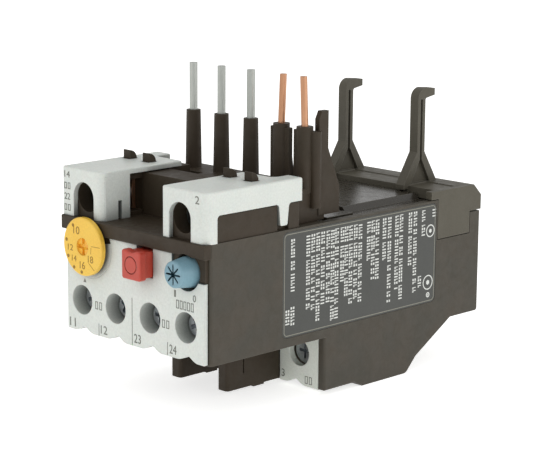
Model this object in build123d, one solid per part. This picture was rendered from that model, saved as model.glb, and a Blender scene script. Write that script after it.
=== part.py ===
from build123d import *
import os
from math import cos, sin, radians

# A thermal overload relay that plugs under a small contactor. It stands on its lower housing:
# X runs across the width, Y from the fascia to the rear, Z up. Depths are measured from the
# front face of the fascia, and the finished pieces are moved so that the origin lies at the
# middle of the underside of the whole relay. All sizes are millimetres and degrees.

# Side covers
WIDTH = 45.0
COVER_T = 1.7
COVER_FRONT = 1.2
COVER_EDGE_R = 0.6
DECK_Z = 38.3
BOX_FLOOR_Z = 13.1
REAR_START = 34.6
REAR_FLOOR_Z = 1.1
FOOT_FRONT = 46.7
FOOT_REAR = 61.3
FOOT_RAMP = 1.9
HEEL = (64.6, 3.4)
TAIL_START = 76.4
TAIL_Z = 10.4
TAIL_END = 86.0
TAIL_TOP_Z = 34.0

# Place of the rating label, sunk into the right cover
LABEL_FRONT = 21.7
LABEL_REAR = 70.9
LABEL_FLOOR_Z = 15.0
LABEL_TOP_Z = 37.8
LABEL_R = 1.3
LABEL_DEPTH = 0.15

# Rear bracket with the two hooks
BRACKET_END = 86.5
BRACKET_TOP_Z = 40.3
BRACKET_FRONT = 72.5
BRACKET_STEP = 79.0
BRACKET_T = 2.6
CHEEK_FRONT = 71.4
CHEEK_TOP_FRONT = 69.0
CHEEK_REAR = 82.5
CHEEK_FLOOR_Z = 29.3
SKIRT_FLOOR_Z = 34.3
BRACKET_CHAMFER = 2.6
HOOK_X = 11.2
HOOK_WIDTH = 2.4
HOOK_DEPTH = 2.5
HOOK_FRONT = 75.5
HOOK_TOP_Z = 62.3
HOOK_TIP = 81.2
HOOK_TIP_T = 2.1
HOOK_NECK_Z = 47.4
HOOK_ROOT_FRONT = 71.0
HOOK_ROOT_REAR = 82.4
HOOK_RIB_T = 1.2
HOOK_POCKET = 0.9
HOOK_GROOVE_W = 0.7
HOOK_GROOVE_TOP_Z = 59.5

# Front frame
WALL_T = 1.6
FRAME_FRONT = 1.8
FRAME_REAR = 34.4
LEDGE_FRONT = -0.5
LEDGE_Z = 35.3
PANEL_FRONT = 0.4
BEARING_WALL_REAR = 12.0
CAVITY_REAR = 33.6
CAVITY_FLOOR_Z = 26.0
CAVITY_ROOF_Z = 36.6

# Fascia
FASCIA_LEFT_MARGIN = 1.2
FASCIA_RIGHT_MARGIN = 0.7
FASCIA_T = 1.8
FASCIA_RIM_T = 1.0
FASCIA_FLOOR_Z = 13.4
SCALLOP_H = 1.15
SCALLOP_RISE = 3.6
SCALLOP_FALL = 3.1
FASCIA_SCALLOP_SHIFT = 0.8
KNOB_CUT_SIDE = 4.3
KNOB_CUT_Z = 30.2

# Terminals behind the fascia, placed as shares of half the width
AUX_SHARES = (-0.729, -0.2445, 0.24, 0.7265)
AUX_Z = 20.4
ACCESS_R = 3.25
ACCESS_THROAT_R = 2.75
FUNNEL_DEPTH = 4.2
FUNNEL_WALL = 0.9
AUX_CHAMBER_W = 8.6
AUX_CHAMBER_REAR = 13.2
AUX_CEILING_Z = 24.6
AUX_HEAD_R = 2.5
AUX_SHANK_R = 1.6
AUX_HEAD_T = 1.9
AUX_SCREW_END = 15.4
AUX_WASHER_T = 0.9
AUX_WASHER_HALF = 3.4
STRIP_T = 0.8
STRIP_W = 3.6
STRIP_FLOOR_Z = 14.2

# Main terminals and phase barriers
POLE_SHARE = 0.649
PLATE_FRONT = 34.9
PLATE_T = 1.6
PLATE_SPACING = 3.0
PLATE_TOP_Z = 13.0
PLATE_FLOOR_Z = 1.0
PLATE_SCALLOP_SHIFT = -0.8
MAIN_Z = 8.3
MAIN_ACCESS_R = 3.0
MAIN_CHAMBER_REAR = 47.4
MAIN_HEAD_R = 2.7
MAIN_HEAD_T = 2.2
MAIN_SHANK_R = 1.9
MAIN_SCREW_END = 45.6
MAIN_CLAMP_T = 1.0
MAIN_CLAMP_HALF = 3.4
MAIN_STRAP_FLOOR_Z = 3.9
MAIN_CEILING_Z = 12.4
BARRIER_T = 3.2
BARRIER_EDGE_R = 0.8
BARRIER_GROOVE = 0.4
BARRIER_FRONT = 18.7
BARRIER_REAR = 34.4
BARRIER_FLOOR_Z = 1.4
BARRIER_PAD = 0.35
BARRIER_GROOVE_Y = 23.4
POLE_WALL_T = 2.2

# Pole chambers with the heated bimetal strips
CHAMBER_FRONT = 50.0
CHAMBER_REAR = 81.0
CHAMBER_FLOOR_Z = 8.0
CHAMBER_TAIL_Z = 14.0
CHAMBER_TAIL_Y = 70.0
POLE_TOP_Z = 36.8
STRAP_T = 1.0
STRAP_W = 5.4
STRAP_Z = 9.0
BIMETAL_Y = 58.0
BIMETAL_W = 4.4
BIMETAL_T = 0.9
BIMETAL_TOP_Z = 36.2
HEATER_FLOOR_Z = 13.0
HEATER_TURNS = 8
HEATER_PITCH = 1.9
HEATER_WIRE = 1.0
HEATER_GAP = 0.3

# Upper terminals and their light shrouds, which are not quite mirror images. Their places are
# distances from the outer face of their own side cover.
RIGHT_REACH = 13.1
RIGHT_ARCH_SIDE = 7.9
RIGHT_CATCH_SIDE = (10.8, 4.5)
LEFT_REACH = 12.7
LEFT_ARCH_SIDE = 6.9
LEFT_CATCH_SIDE = (8.9, 2.6)
SHROUD_TOP_Z = 48.9
SHROUD_T = 1.2
SHROUD_CORNER_R = 2.0
SHROUD_EDGE_R = 0.4
WINDOW_R = 0.8
LEG_TIP_R = 0.4
SHROUD_REAR = 22.8
SHROUD_NOTCH_R = 1.6
SHROUD_TAB_REAR = 27.2
SHROUD_TAB_W = 4.1
SHROUD_WALL_REAR = 8.0
WINDOW_FRONT = 3.0
WINDOW_REAR = 20.4
WINDOW_TOP_Z = 44.0
LEG_REAR = 23.4
LEG_TAPER = 0.5
LEG_FLOOR_Z = 39.4
ARCH_Z = 42.8
ARCH_R = 3.3
SLOT_Y = 5.2
SLOT_W = 1.0
SLOT_TOP_Z = 42.3
CATCH_Y = 15.9
CATCH_R = 1.9
CATCH_W = 2.2
BLOCK_TOP_Z = 47.4
BLOCK_REAR = 26.6
CENTRE_FRONT = 12.6
CENTRE_REAR = 21.5
UPPER_CHAMBER_FRONT = 4.9
UPPER_CHAMBER_REAR = 12.9
UPPER_CHAMBER_HALF = 3.8
UPPER_FLOOR_Z = 39.2
UPPER_CEILING_Z = 46.2
UPPER_HEAD_R = 2.5
UPPER_HEAD_T = 1.9
UPPER_SHANK_R = 1.5
UPPER_SCREW_END = 15.0
UPPER_WASHER_T = 0.8
LEAF_T = 0.5

# Pins, wires and sleeves
SLEEVE_Y = 32.5
SLEEVE_TOP_Z = 58.5
SLEEVE_BASE_Z = 45.5
SLEEVE_TOP_R = 1.6
SLEEVE_FOOT_R = 1.85
PIN_SHARES = (-0.729, -0.329, 0.08)
PIN_R = 0.9
PIN_SHANK_R = 0.6
PIN_TOP_Z = 69.0
WIRE_SHARES = (0.493, 0.8)
WIRE_LEAN = (0.45, -0.5)
WIRE_R = 0.75
WIRE_SLEEVE_R = 1.8
WIRE_SLEEVE_TOP_Z = 57.7
WING_REACH = 3.0
WING_FLARE = 1.1
WING_T = 1.2
COLUMN_SIDE = 2.55
COLUMN_Y = 33.8
COLUMN_R = 1.25
COLUMN_TOP_Z = 57.5
COLUMN_FOOT_Z = 41.2
FIN_SIDE = 3.3
FIN_T = 1.3
FIN_TOP_Z = 61.6
FIN_FRONT = 35.0
FIN_REAR = 37.8
FIN_FOOT_REAR = 41.4
FIN_FOOT_Z = 45.0
CARRIER_FRONT = 28.8
CARRIER_REAR = 37.0
CARRIER_SIDE = 1.2

# Leads from the main pins to the heaters and links from the upper terminals to the wires
LEAD_T = 0.8
LEAD_W = 2.0
LEAD_CROSS_FRONT = 35.0
LEAD_REAR = 36.6
LEAD_LOW_Z = 36.0
LEAD_REST_Z = 38.5
LINK_W = 2.4
LINK_CROSS_Y = 27.9

# Deck over the pole chambers
DECK_FRONT = 37.2
DECK_REAR = 72.2
DECK_LOW_Z = 37.6
DECK_RAISED_Z = 38.9
DECK_RAISED_SIDE = 7.5
DECK_RAISED_FRONT = 47.6
DECK_SHELF_FRONT = 38.4
DECK_SHELF_REAR = 46.6

# Setting dial
DIAL_SHARE = -0.6133
DIAL_Z = 32.7
DIAL_R = 6.3
DIAL_FRONT = -2.0
DIAL_T = 1.1
DIAL_CUT_GAP = 0.7
DIAL_HUB_R = 1.9
DIAL_HUB_DEPTH = 0.35
DIAL_SLOT_R = 1.8
DIAL_SLOT_W = 0.9
DIAL_SLOT_DEPTH = 0.85
DIAL_SHAFT_R = 2.0
DIAL_JOURNAL_R = 1.2
CAM_FRONT = 13.0
CAM_T = 2.0
CAM_LOW_R = 2.2
CAM_RISE = 1.3
CAM_TURN = 270.0
CAM_STEPS = 18
CAM_GAP = 0.15

# Stop button
STOP_SHARE = 0.1733
STOP_Z = 31.9
STOP_CAP_W = 5.7
STOP_CAP_H = 6.2
STOP_FRONT = -3.9
STOP_CAP_T = 1.7
STOP_STEM_W = 4.6
STOP_STEM_H = 5.4
STOP_FLANGE = 0.5
STOP_FLANGE_T = 1.0
STOP_TRAVEL = 1.6
STOP_ROD_R = 1.0
STOP_RING_R = 1.9
STOP_RING_T = 0.25
STOP_CORNER_R = 0.6
STOP_EDGE_R = 0.35
STOP_DIP = 0.4
STOP_DIP_R = 3.0
POCKET_REAR = 9.0

# Reset knob
RESET_SHARE = 0.7333
RESET_Z = 32.0
RESET_R = 3.1
RESET_FOOT_R = 3.4
RESET_FRONT = -4.2
RESET_REAR = 1.5
RESET_TRAVEL = 1.6
RESET_ROD_R = 1.5
RESET_COLLAR_R = 2.9
RESET_SLOT_R = 1.8
RESET_SLOT_W = 0.7
RESET_SLOT_DEPTH = 0.8
RESET_POCKET_R = 3.75
CLIP_T = 0.6
CLIP_GAP = 0.3

# Springs
SPRING_WIRE_R = 0.22
SPRING_TURNS = 4
STOP_SPRING_R = 1.7
RESET_SPRING_R = 2.2

# Trip chain: slide, lever, contact carrier and reset rocker
SLIDE_TRAVEL = 2.0
SLIDE_FLOOR_Z = 34.2
SLIDE_T = 1.2
SLIDE_W = 6.0
LEVER_SHARE = -0.7644
LEVER_Y = 27.0
LEVER_W = 2.4
LEVER_BOSS_R = 2.3
LEVER_PEG_R = 0.9
LEVER_PIN_R = 0.8
CONTACT_HALF = 2.6
CONTACT_FRONT = 21.6
CONTACT_REAR = 29.9
CONTACT_TOP_Z = 32.0
CONTACT_TAIL_Z = 33.8
CONTACT_TAIL_T = 1.5
CONTACT_RAIL_T = 0.55
CONTACT_RAIL_H = 1.6
BRIDGE_FRONT = 22.5
BRIDGE_T = 0.7
BRIDGE_FLOOR_Z = 27.9
BRIDGE_H = 1.8
BRIDGE_PAST = 1.75
BRIDGE_ROOT = 1.0
TIP_R = 0.8
TIP_T = 0.5
CONTACT_GAP = 0.1
TAB_TOP_Z = 30.0
ROCKER_SHARE = 0.3022
ROCKER_Y = 31.4
ROCKER_FLOOR_Z = 32.3
ROCKER_T = 1.4
ROCKER_ARM_W = 1.2
ROCKER_REACH = 5.2
ROCKER_CRANK = 1.3
ROCKER_PIN_R = 0.7
ROCKER_BOSS_R = 1.6
FOLLOWER_REACH = 5.6
FOLLOWER_Z = 28.4
FOLLOWER_W = 1.3
FOLLOWER_PIN_R = 0.6
PIN_SEAT = 1.0
FOLLOWER_PIN_SEAT = 2.0

# Clearances, and how far a cut runs past the face that it opens
OVERRUN = 1.0
RUN_GAP = 0.05
SLIDE_GAP = 0.25
MOVE_GAP = 0.3
SEAM = 0.2

# Worked-out places
HALF = WIDTH / 2
INNER_HALF = HALF - COVER_T
MIDDLE_Y = (RESET_FRONT + BRACKET_END) / 2
FASCIA_LEFT = FASCIA_LEFT_MARGIN - HALF
FASCIA_RIGHT = HALF - FASCIA_RIGHT_MARGIN
AUX_X = tuple(HALF * share for share in AUX_SHARES)
POLE_PITCH = HALF * POLE_SHARE
POLE_X = (-POLE_PITCH, 0.0, POLE_PITCH)
PLATE_HALF = (POLE_PITCH - PLATE_SPACING) / 2
BARRIER_X = (POLE_PITCH + SEAM) / 2
RIGHT_INNER = HALF - RIGHT_REACH
RIGHT_ARCH_X = HALF - RIGHT_ARCH_SIDE
RIGHT_CATCH_X = tuple(HALF - side for side in RIGHT_CATCH_SIDE)
LEFT_INNER = HALF - LEFT_REACH
LEFT_ARCH_X = HALF - LEFT_ARCH_SIDE
LEFT_CATCH_X = tuple(HALF - side for side in LEFT_CATCH_SIDE)
PIN_X = tuple(HALF * share for share in PIN_SHARES)
WIRE_X = tuple(HALF * share for share in WIRE_SHARES)
COLUMN_X = HALF - COLUMN_SIDE
FIN_X = HALF - FIN_SIDE
CARRIER_CENTRE_HALF = RIGHT_INNER - SEAM / 2
DECK_RAISED_HALF = HALF - DECK_RAISED_SIDE
DIAL_X = HALF * DIAL_SHARE
STOP_X = HALF * STOP_SHARE
RESET_X = HALF * RESET_SHARE
KNOB_CUT_X = RESET_X - KNOB_CUT_SIDE
LEVER_X = HALF * LEVER_SHARE
SLIDE_RIGHT = INNER_HALF - WALL_T - 2 * MOVE_GAP
BRIDGE_END = AUX_X[-1] + BRIDGE_PAST
ROCKER_X = HALF * ROCKER_SHARE
FOLLOWER_X = DIAL_X + FOLLOWER_REACH
AUX_HEAD_FRONT = FUNNEL_DEPTH + SEAM
AUX_WASHER_FRONT = AUX_HEAD_FRONT + AUX_HEAD_T
AUX_STRIP_FRONT = AUX_CHAMBER_REAR - STRIP_T
MAIN_HEAD_FRONT = PLATE_FRONT + PLATE_T + MOVE_GAP
MAIN_CLAMP_FRONT = MAIN_HEAD_FRONT + MAIN_HEAD_T
MAIN_STRAP_FRONT = MAIN_CHAMBER_REAR - STRAP_T
UPPER_WASHER_FRONT = UPPER_CHAMBER_FRONT + SEAM + UPPER_HEAD_T
UPPER_PLATE_FRONT = UPPER_CHAMBER_REAR - STRIP_T
LEVER_REACH_REAR = BIMETAL_Y - LEVER_Y
LEVER_REACH_SIDE = -LEVER_X
LEVER_FLOOR_Z = SLIDE_FLOOR_Z
LEVER_TURN = SLIDE_TRAVEL / LEVER_REACH_REAR
CONTACT_TRAVEL = LEVER_REACH_SIDE * LEVER_TURN


def outline(points):
    """Closed flat face through corner points."""
    return make_face(Polyline(*points, close=True))


def span(u0, u1, v0, v1):
    """Flat rectangle between two limits each way."""
    return Pos((u0 + u1) / 2, (v0 + v1) / 2) * Rectangle(abs(u1 - u0), abs(v1 - v0))


def disc(u, v, radius):
    """Flat disc about a point."""
    return Pos(u, v) * Circle(radius)


def rounded(face, corners, radius):
    """Rounds the corners of a flat face that lie nearest to the given points."""
    chosen = [min(face.vertices(), key=lambda v: (v.X - u) ** 2 + (v.Y - w) ** 2) for u, w in corners]
    return fillet(chosen, radius)


def along_x(face, x0, x1):
    """A profile drawn in Y and Z, from x0 to x1."""
    return extrude(Plane.YZ.offset(x0) * face, amount=x1 - x0)


def along_y(face, y0, y1):
    """A profile drawn in X and Z, from y0 to y1."""
    return extrude(Plane.XZ.offset(-y0) * face, amount=y0 - y1)


def along_z(face, z0, z1):
    """A profile drawn in X and Y, from z0 to z1."""
    return extrude(Plane.XY.offset(z0) * face, amount=z1 - z0)


def rod_y(x, z, radius, y0, y1):
    """A round bar or bore in depth."""
    return extrude(Plane.XZ.offset(-y0) * disc(x, z, radius), amount=y0 - y1)


def rod_z(x, y, radius, z0, z1):
    """An upright round bar or bore."""
    return extrude(Plane.XY.offset(z0) * disc(x, y, radius), amount=z1 - z0)


def block(x0, x1, y0, y1, z0, z1):
    """A straight-sided space between limits."""
    return along_z(span(x0, x1, y0, y1), z0, z1)


def cone_y(x, z, front_radius, rear_radius, y0, y1):
    """A cone or funnel whose axis runs in depth."""
    start = Plane.XZ.offset(-y0) * disc(x, z, front_radius)
    end = Plane.XZ.offset(-y1) * disc(x, z, rear_radius)
    return loft([start, end])


def cone_z(x, y, foot_radius, top_radius, z0, z1):
    """An upright cone."""
    start = Plane.XY.offset(z0) * disc(x, y, foot_radius)
    end = Plane.XY.offset(z1) * disc(x, y, top_radius)
    return loft([start, end])


def scallop(x, floor):
    """Soft hump cut into the foot of a light plate, with its top at x."""
    start = (x - SCALLOP_RISE, floor)
    end = (x + SCALLOP_FALL, floor)
    hump = Spline(start, (x, floor + SCALLOP_H), end, tangents=[(1, 0), (1, 0)])
    foot = Polyline(end, (end[0], floor - OVERRUN), (start[0], floor - OVERRUN), start)
    return make_face([hump, foot])


def star(u, v, radius, width, points=3):
    """A screwdriver recess of crossed slots."""
    arm = Rectangle(2 * radius, width)
    shape = arm
    for turn in range(1, points):
        shape = shape + Rot(0, 0, turn * 180 / points) * arm
    return Pos(u, v) * shape


def mirrored(shape):
    """The same shape on the other side of the middle plane."""
    return mirror(shape, about=Plane.YZ)


def side_outline():
    """The side silhouette of the housing, with the place of the bracket cheek left out."""
    points = [
        (COVER_FRONT, BOX_FLOOR_Z),
        (REAR_START, BOX_FLOOR_Z),
        (REAR_START, REAR_FLOOR_Z),
        (FOOT_FRONT - FOOT_RAMP, REAR_FLOOR_Z),
        (FOOT_FRONT, 0.0),
        (FOOT_REAR, 0.0),
        HEEL,
        (TAIL_START, TAIL_Z),
        (TAIL_END, TAIL_Z),
        (TAIL_END, TAIL_TOP_Z),
        (CHEEK_REAR + SEAM, TAIL_TOP_Z),
        (CHEEK_REAR + SEAM, CHEEK_FLOOR_Z - SEAM),
        (CHEEK_FRONT - SEAM, CHEEK_FLOOR_Z - SEAM),
        (CHEEK_FRONT - SEAM, DECK_Z),
        (COVER_FRONT, DECK_Z),
    ]
    face = outline(points)
    face = rounded(face, [(FOOT_REAR, 0.0), HEEL], FOOT_RAMP)
    return rounded(face, [(REAR_START, REAR_FLOOR_Z), (TAIL_END, TAIL_Z)], COVER_EDGE_R)


def label_recess():
    """Shallow place for the rating label on the outside of the right cover."""
    face = span(LABEL_FRONT, LABEL_REAR, LABEL_FLOOR_Z, LABEL_TOP_Z)
    face = fillet(face.vertices(), LABEL_R)
    return along_x(face, HALF - LABEL_DEPTH, HALF + OVERRUN)


def side_cover():
    """Side cover, drawn on the right: a flat shell with a soft front edge."""
    cover = along_x(side_outline(), INNER_HALF, HALF)
    outer = cover.edges().filter_by(Axis.Z).filter_by_position(Axis.X, HALF - SEAM, HALF + SEAM)
    fronts = [edge for edge in outer if edge.center().Y < REAR_START + SEAM]
    return fillet(fronts, COVER_EDGE_R)


def funnel_bores():
    """The four tapered screwdriver holes in the fascia."""
    return [cone_y(x, AUX_Z, ACCESS_R, ACCESS_THROAT_R, 0.0, FUNNEL_DEPTH) for x in AUX_X]


def fascia_outline():
    """Front view of the fascia: scalloped foot, dial cut-out and knob cut-out."""
    face = span(FASCIA_LEFT, FASCIA_RIGHT, FASCIA_FLOOR_Z, LEDGE_Z)
    for x in AUX_X:
        face = face - scallop(x + FASCIA_SCALLOP_SHIFT, FASCIA_FLOOR_Z)
    cut_r = DIAL_R + DIAL_CUT_GAP
    face = face - disc(DIAL_X, DIAL_Z, cut_r)
    face = face - span(FASCIA_LEFT - OVERRUN, DIAL_X, DIAL_Z, LEDGE_Z + OVERRUN)
    face = face - disc(RESET_X, RESET_Z, RESET_POCKET_R + SEAM)
    face = face - span(KNOB_CUT_X, FASCIA_RIGHT + OVERRUN, RESET_Z, LEDGE_Z + OVERRUN)
    face = face - span(RESET_X, FASCIA_RIGHT + OVERRUN, KNOB_CUT_Z, LEDGE_Z + OVERRUN)
    stem = span(
        STOP_X - STOP_STEM_W / 2 - SLIDE_GAP, STOP_X + STOP_STEM_W / 2 + SLIDE_GAP,
        STOP_Z - STOP_STEM_H / 2 - SLIDE_GAP, LEDGE_Z + OVERRUN,
    )
    return face - stem


def fascia():
    """Light front plate with four funnels that guide a screwdriver."""
    front = fascia_outline()
    plate = along_y(front, 0.0, FASCIA_RIM_T)
    behind = front & span(-INNER_HALF, INNER_HALF, 0.0, DECK_Z)
    plate = plate + along_y(behind, FASCIA_RIM_T, FASCIA_T)
    for x in AUX_X:
        plate = plate + cone_y(
            x, AUX_Z, ACCESS_R + FUNNEL_WALL, ACCESS_THROAT_R + FUNNEL_WALL, FASCIA_T / 2, FUNNEL_DEPTH,
        )
    for bore in funnel_bores():
        plate = plate - bore
    return plate


def panel_outline():
    """The dark panel that fills the fascia's cut-outs behind the dial and round the knob."""
    dial_pad = disc(DIAL_X, DIAL_Z, DIAL_R + DIAL_CUT_GAP - SEAM)
    dial_pad = dial_pad + span(FASCIA_LEFT, DIAL_X, DIAL_Z + SEAM, LEDGE_Z)
    knob_pad = span(KNOB_CUT_X + SEAM, FASCIA_RIGHT, RESET_Z + SEAM, LEDGE_Z)
    knob_pad = knob_pad + span(RESET_X, FASCIA_RIGHT, KNOB_CUT_Z + SEAM, LEDGE_Z)
    return (dial_pad & span(FASCIA_LEFT, 0.0, BOX_FLOOR_Z, LEDGE_Z)) + knob_pad


def front_frame():
    """Front base: ledge, bearing wall, terminal chambers and the cavity of the trip mechanism."""
    frame = block(-INNER_HALF, INNER_HALF, FRAME_FRONT, FRAME_REAR, BOX_FLOOR_Z, DECK_Z)
    ledge = along_x(span(LEDGE_FRONT, COVER_FRONT, LEDGE_Z, DECK_Z), -HALF, HALF)
    ledge = chamfer(ledge.edges().filter_by(Axis.X).group_by(Axis.Y)[0], SEAM)
    frame = frame + ledge
    frame = frame + block(-INNER_HALF, INNER_HALF, COVER_FRONT, FRAME_FRONT, LEDGE_Z, DECK_Z)
    panel = panel_outline()
    frame = frame + along_y(panel, PANEL_FRONT, COVER_FRONT)
    frame = frame + along_y(panel & span(-INNER_HALF, INNER_HALF, 0.0, DECK_Z), COVER_FRONT, FRAME_FRONT)
    half = AUX_CHAMBER_W / 2
    strip_half = STRIP_W / 2 + SEAM
    for x in AUX_X:
        left = max(x - half, -INNER_HALF)
        right = min(x + half, INNER_HALF)
        mouth = ACCESS_R + FUNNEL_WALL + SEAM
        frame = frame - rod_y(x, AUX_Z, mouth, FRAME_FRONT - SEAM, FUNNEL_DEPTH + SEAM)
        frame = frame - block(
            left, right, FUNNEL_DEPTH + SEAM, AUX_CHAMBER_REAR, BOX_FLOOR_Z - OVERRUN, AUX_CEILING_Z,
        )
        hump = x + FASCIA_SCALLOP_SHIFT
        frame = frame - block(
            hump - SCALLOP_RISE, hump + SCALLOP_FALL, 0.0, FUNNEL_DEPTH + OVERRUN,
            BOX_FLOOR_Z - OVERRUN, FASCIA_FLOOR_Z + SCALLOP_H + SEAM,
        )
        frame = frame - rod_y(
            x, AUX_Z, AUX_SHANK_R + SEAM, AUX_CHAMBER_REAR - OVERRUN, AUX_SCREW_END + SEAM,
        )
        frame = frame - block(
            x - strip_half, x + strip_half, AUX_STRIP_FRONT, AUX_CHAMBER_REAR,
            AUX_CEILING_Z - OVERRUN, CAVITY_FLOOR_Z + OVERRUN,
        )
    cavity = block(
        -INNER_HALF - OVERRUN, INNER_HALF + OVERRUN, BEARING_WALL_REAR, CAVITY_REAR,
        CAVITY_FLOOR_Z, CAVITY_ROOF_Z,
    )
    frame = frame - cavity
    hollow = block(
        -INNER_HALF - OVERRUN, INNER_HALF + OVERRUN, AUX_SCREW_END + WALL_T, FRAME_REAR + OVERRUN,
        BOX_FLOOR_Z + WALL_T, CAVITY_FLOOR_Z - WALL_T,
    )
    frame = frame - hollow
    frame = frame - rod_y(
        DIAL_X, DIAL_Z, DIAL_SHAFT_R + RUN_GAP, LEDGE_FRONT - OVERRUN, BEARING_WALL_REAR + OVERRUN,
    )
    frame = frame - stop_pocket()
    frame = frame - rod_y(RESET_X, RESET_Z, RESET_POCKET_R, LEDGE_FRONT - OVERRUN, POCKET_REAR)
    frame = frame - rod_y(
        RESET_X, RESET_Z, RESET_ROD_R + RUN_GAP, POCKET_REAR - OVERRUN, BEARING_WALL_REAR + OVERRUN,
    )
    for side in (-1, 1):
        inner = side * (CONTACT_HALF + SLIDE_GAP)
        outer = side * (CONTACT_HALF + SLIDE_GAP + CONTACT_RAIL_T)
        frame = frame + block(
            min(inner, outer), max(inner, outer), CONTACT_FRONT - OVERRUN, CAVITY_REAR,
            CAVITY_FLOOR_Z, CAVITY_FLOOR_Z + CONTACT_RAIL_H,
        )
    lever_slot = block(
        -INNER_HALF - OVERRUN, LEVER_X + LEVER_W, CAVITY_REAR - OVERRUN, FRAME_REAR + OVERRUN,
        LEVER_FLOOR_Z - SLIDE_GAP, LEVER_FLOOR_Z + SLIDE_T + SLIDE_GAP,
    )
    frame = frame - lever_slot
    for x, y, boss_r, pin_r, boss_top in pivots():
        frame = frame + rod_z(x, y, boss_r, CAVITY_FLOOR_Z, boss_top)
        frame = frame - rod_z(x, y, pin_r, CAVITY_FLOOR_Z, CAVITY_ROOF_Z + PIN_SEAT)
    seat_front = BEARING_WALL_REAR - FOLLOWER_PIN_SEAT
    return frame - rod_y(
        FOLLOWER_X, FOLLOWER_Z, FOLLOWER_PIN_R, seat_front, BEARING_WALL_REAR + OVERRUN,
    )


def pivots():
    """Upright pivots of the cavity: place, boss radius, pin radius and height of the boss."""
    return (
        (LEVER_X, LEVER_Y, LEVER_BOSS_R, LEVER_PIN_R, LEVER_FLOOR_Z - SLIDE_GAP),
        (ROCKER_X, ROCKER_Y, ROCKER_BOSS_R, ROCKER_PIN_R, ROCKER_FLOOR_Z - SLIDE_GAP),
    )


def upright_pin(x, y, radius):
    """Steel pin that stands in its boss and reaches into the cavity's roof."""
    return rod_z(x, y, radius, CAVITY_FLOOR_Z, CAVITY_ROOF_Z + PIN_SEAT)


def stop_pocket():
    """Space in the bearing wall for the stop button, its spring and its rod."""
    half_w = STOP_STEM_W / 2 + STOP_FLANGE + SLIDE_GAP
    half_h = STOP_STEM_H / 2 + STOP_FLANGE + SLIDE_GAP
    roof = min(STOP_Z + half_h, LEDGE_Z)
    pocket = block(STOP_X - half_w, STOP_X + half_w, 0.0, POCKET_REAR, STOP_Z - half_h, roof)
    rod = rod_y(STOP_X, STOP_Z, STOP_ROD_R + RUN_GAP, POCKET_REAR - OVERRUN, BEARING_WALL_REAR + OVERRUN)
    return pocket + rod


def phase_barrier():
    """Wall between two main terminals, below the front box."""
    x0 = BARRIER_X - BARRIER_T / 2
    x1 = BARRIER_X + BARRIER_T / 2
    wall = block(x0, x1, BARRIER_FRONT, BARRIER_REAR, BARRIER_FLOOR_Z, BOX_FLOOR_Z)
    fronts = wall.edges().filter_by(Axis.Z).group_by(Axis.Y)[0]
    wall = fillet(fronts, BARRIER_EDGE_R)
    pad_y = BARRIER_GROOVE_Y + BARRIER_T
    pad_floor = BARRIER_FLOOR_Z - BARRIER_PAD
    wall = wall + block(x0, x1, pad_y, pad_y + BARRIER_T, pad_floor, BARRIER_FLOOR_Z + OVERRUN)
    for x in (x0, x1):
        wall = wall - block(
            x - BARRIER_GROOVE, x + BARRIER_GROOVE, BARRIER_GROOVE_Y, BARRIER_GROOVE_Y + BARRIER_GROOVE,
            BARRIER_FLOOR_Z + BARRIER_T, BOX_FLOOR_Z,
        )
    return wall


def terminal_plate(x):
    """Light plate in front of a main terminal, with its screwdriver hole and scalloped foot."""
    face = span(x - PLATE_HALF, x + PLATE_HALF, PLATE_FLOOR_Z, PLATE_TOP_Z)
    face = face - scallop(x + PLATE_SCALLOP_SHIFT, PLATE_FLOOR_Z) - disc(x, MAIN_Z, MAIN_ACCESS_R)
    return along_y(face, PLATE_FRONT, PLATE_FRONT + PLATE_T)


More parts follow.
